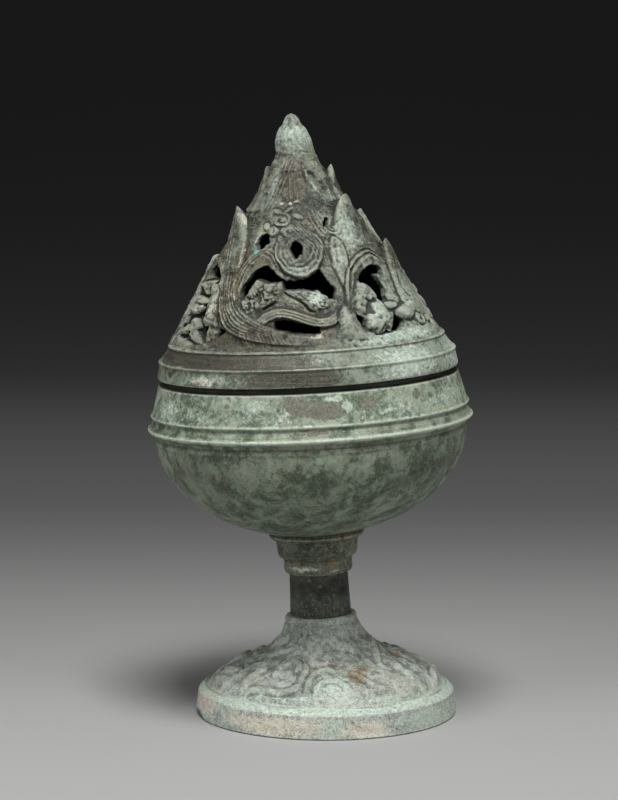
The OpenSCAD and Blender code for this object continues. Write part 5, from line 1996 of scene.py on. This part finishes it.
@dataclass
class Stage:
    """Grey paper sweep, a soft key light over the front, weak fills from both sides, and the camera."""

    width: float = 3.4
    depth: float = 1.5
    turn: float = 0.5
    turn_steps: int = 24
    reach: float = 3.0
    camera_at: Triple = (-0.00056, -0.983, 0.233)
    camera_tilt: float = 82.82
    camera_end: float = 20.0
    lens: float = 129.15
    sensor: float = 36.0
    world: float = 0.08
    lamps: tuple[Lamp, ...] = (
        Lamp("key", (0.05, -0.45, 1.15), (0.0, 0.0, 0.11), 0.42, 16.0),
        Lamp("right", (0.95, -0.7, 0.5), (0.0, 0.0, 0.1), 0.6, 4.3),
        Lamp("left", (-0.95, -0.6, 0.55), (0.0, 0.0, 0.1), 0.6, 5.2),
    )

    def build(self) -> None:
        """Builds the floor, the lights and the camera."""
        self.floor()
        for lamp in self.lamps:
            lamp.build()
        world = bpy.context.scene.world or bpy.data.worlds.new("studio")
        bpy.context.scene.world = world
        world.use_nodes = True
        background = world.node_tree.nodes["Background"]
        background.inputs["Color"].default_value = (1.0, 1.0, 1.0, 1.0)
        background.inputs["Strength"].default_value = self.world
        self.camera()

    def floor(self) -> None:
        """Sweep: flat from the front, then a quarter circle, then upright, as one strip."""
        arc = np.linspace(0.0, np.pi / 2.0, self.turn_steps)
        y = np.concatenate([[-self.reach], self.depth - self.turn + self.turn * np.sin(arc), [self.depth]])
        z = np.concatenate([[0.0], self.turn * (1.0 - np.cos(arc)), [self.reach]])
        x = np.array([-self.width, self.width])
        points = np.stack([np.tile(x, len(y)), np.repeat(y, 2), np.repeat(z, 2)], axis=1)
        i = np.arange(len(y) - 1) * 2
        faces = np.stack([i, i + 1, i + 3, i + 2], axis=1)
        mesh = bpy.data.meshes.new("studio_sweep")
        mesh.from_pydata(points.tolist(), [], faces.tolist())
        mesh.polygons.foreach_set("use_smooth", np.ones(len(faces), bool))
        mesh.materials.append(StudioPaper().material())
        sweep = bpy.data.objects.new("studio_sweep", mesh)
        bpy.context.scene.collection.objects.link(sweep)

    def camera(self) -> None:
        """Camera from the front, a little above the lid's bands, tilted down."""
        data = bpy.data.cameras.new("camera")
        data.sensor_fit = "VERTICAL"
        data.sensor_height = self.sensor
        data.lens = self.lens
        data.clip_end = self.camera_end
        eye = bpy.data.objects.new("camera", data)
        eye.location = self.camera_at
        eye.rotation_euler = (radians(self.camera_tilt), 0.0, 0.0)
        bpy.context.scene.collection.objects.link(eye)
        bpy.context.scene.camera = eye


def carry_over(node: str, finish: Material) -> None:
    """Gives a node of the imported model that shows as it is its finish."""
    piece = bpy.data.objects[node]
    piece.data.materials.clear()
    piece.data.materials.append(finish)
    LOG.info("%s: shown as packed", node)


def main() -> None:
    """Builds the pieces from the ground up, then the stage."""
    logging.basicConfig(level=logging.INFO, format="%(name)s %(message)s")
    bpy.context.scene.view_settings.view_transform = "Standard"
    foot_bronze = Patina(
        "foot_patina", (124, 129, 123), (184, 190, 182), crust=0.3, edge=0.15, hollow_shade=0.42, flaked=0.42,
        dusty=0.6,
    )
    stem_bronze = Patina("stem_patina", (34, 37, 31), (76, 84, 71), edge=0.3, dusty=0.2)
    collar_bronze = Patina("collar_patina", (45, 48, 38), (94, 100, 82), edge=0.4, dusty=0.25)
    bowl_bronze = Patina(
        "bowl_patina", (76, 88, 68), (150, 164, 144), crust=0.08, edge=0.6, rough=0.52, flaked=0.58,
        dusty=0.22, metal=((88, 86, 76), (120, 117, 106)),
    )
    lid_bronze = Patina(
        "lid_patina", (38, 40, 31), (112, 119, 105), crust=0.08, bare=0.12, edge=0.22, hollow_shade=0.94, dusty=0.24,
        fade=0.34, metal=((52, 48, 36), (110, 103, 83)),
    )
    band_bronze = Patina(
        "band_patina", (72, 79, 65), (136, 147, 132), crust=0.15, edge=0.55, rough=0.48, brushed=0.35,
        dusty=0.15, fade=0.24, metal=((48, 46, 37), (86, 82, 70)),
    )
    Foot().build(foot_bronze.material())
    Stem().build(stem_bronze.material())
    Collar().build(collar_bronze.material())
    Bowl().build(bowl_bronze.material())
    lid_finish = lid_bronze.material()
    LidBands().build(band_bronze.material())
    HillLid().build(lid_finish)
    iron = RustedIron().material()
    for node in ("tie_rivet", "rivet_washer"):
        carry_over(node, iron)
    Stage().build()


if __name__ == "__main__":
    main()
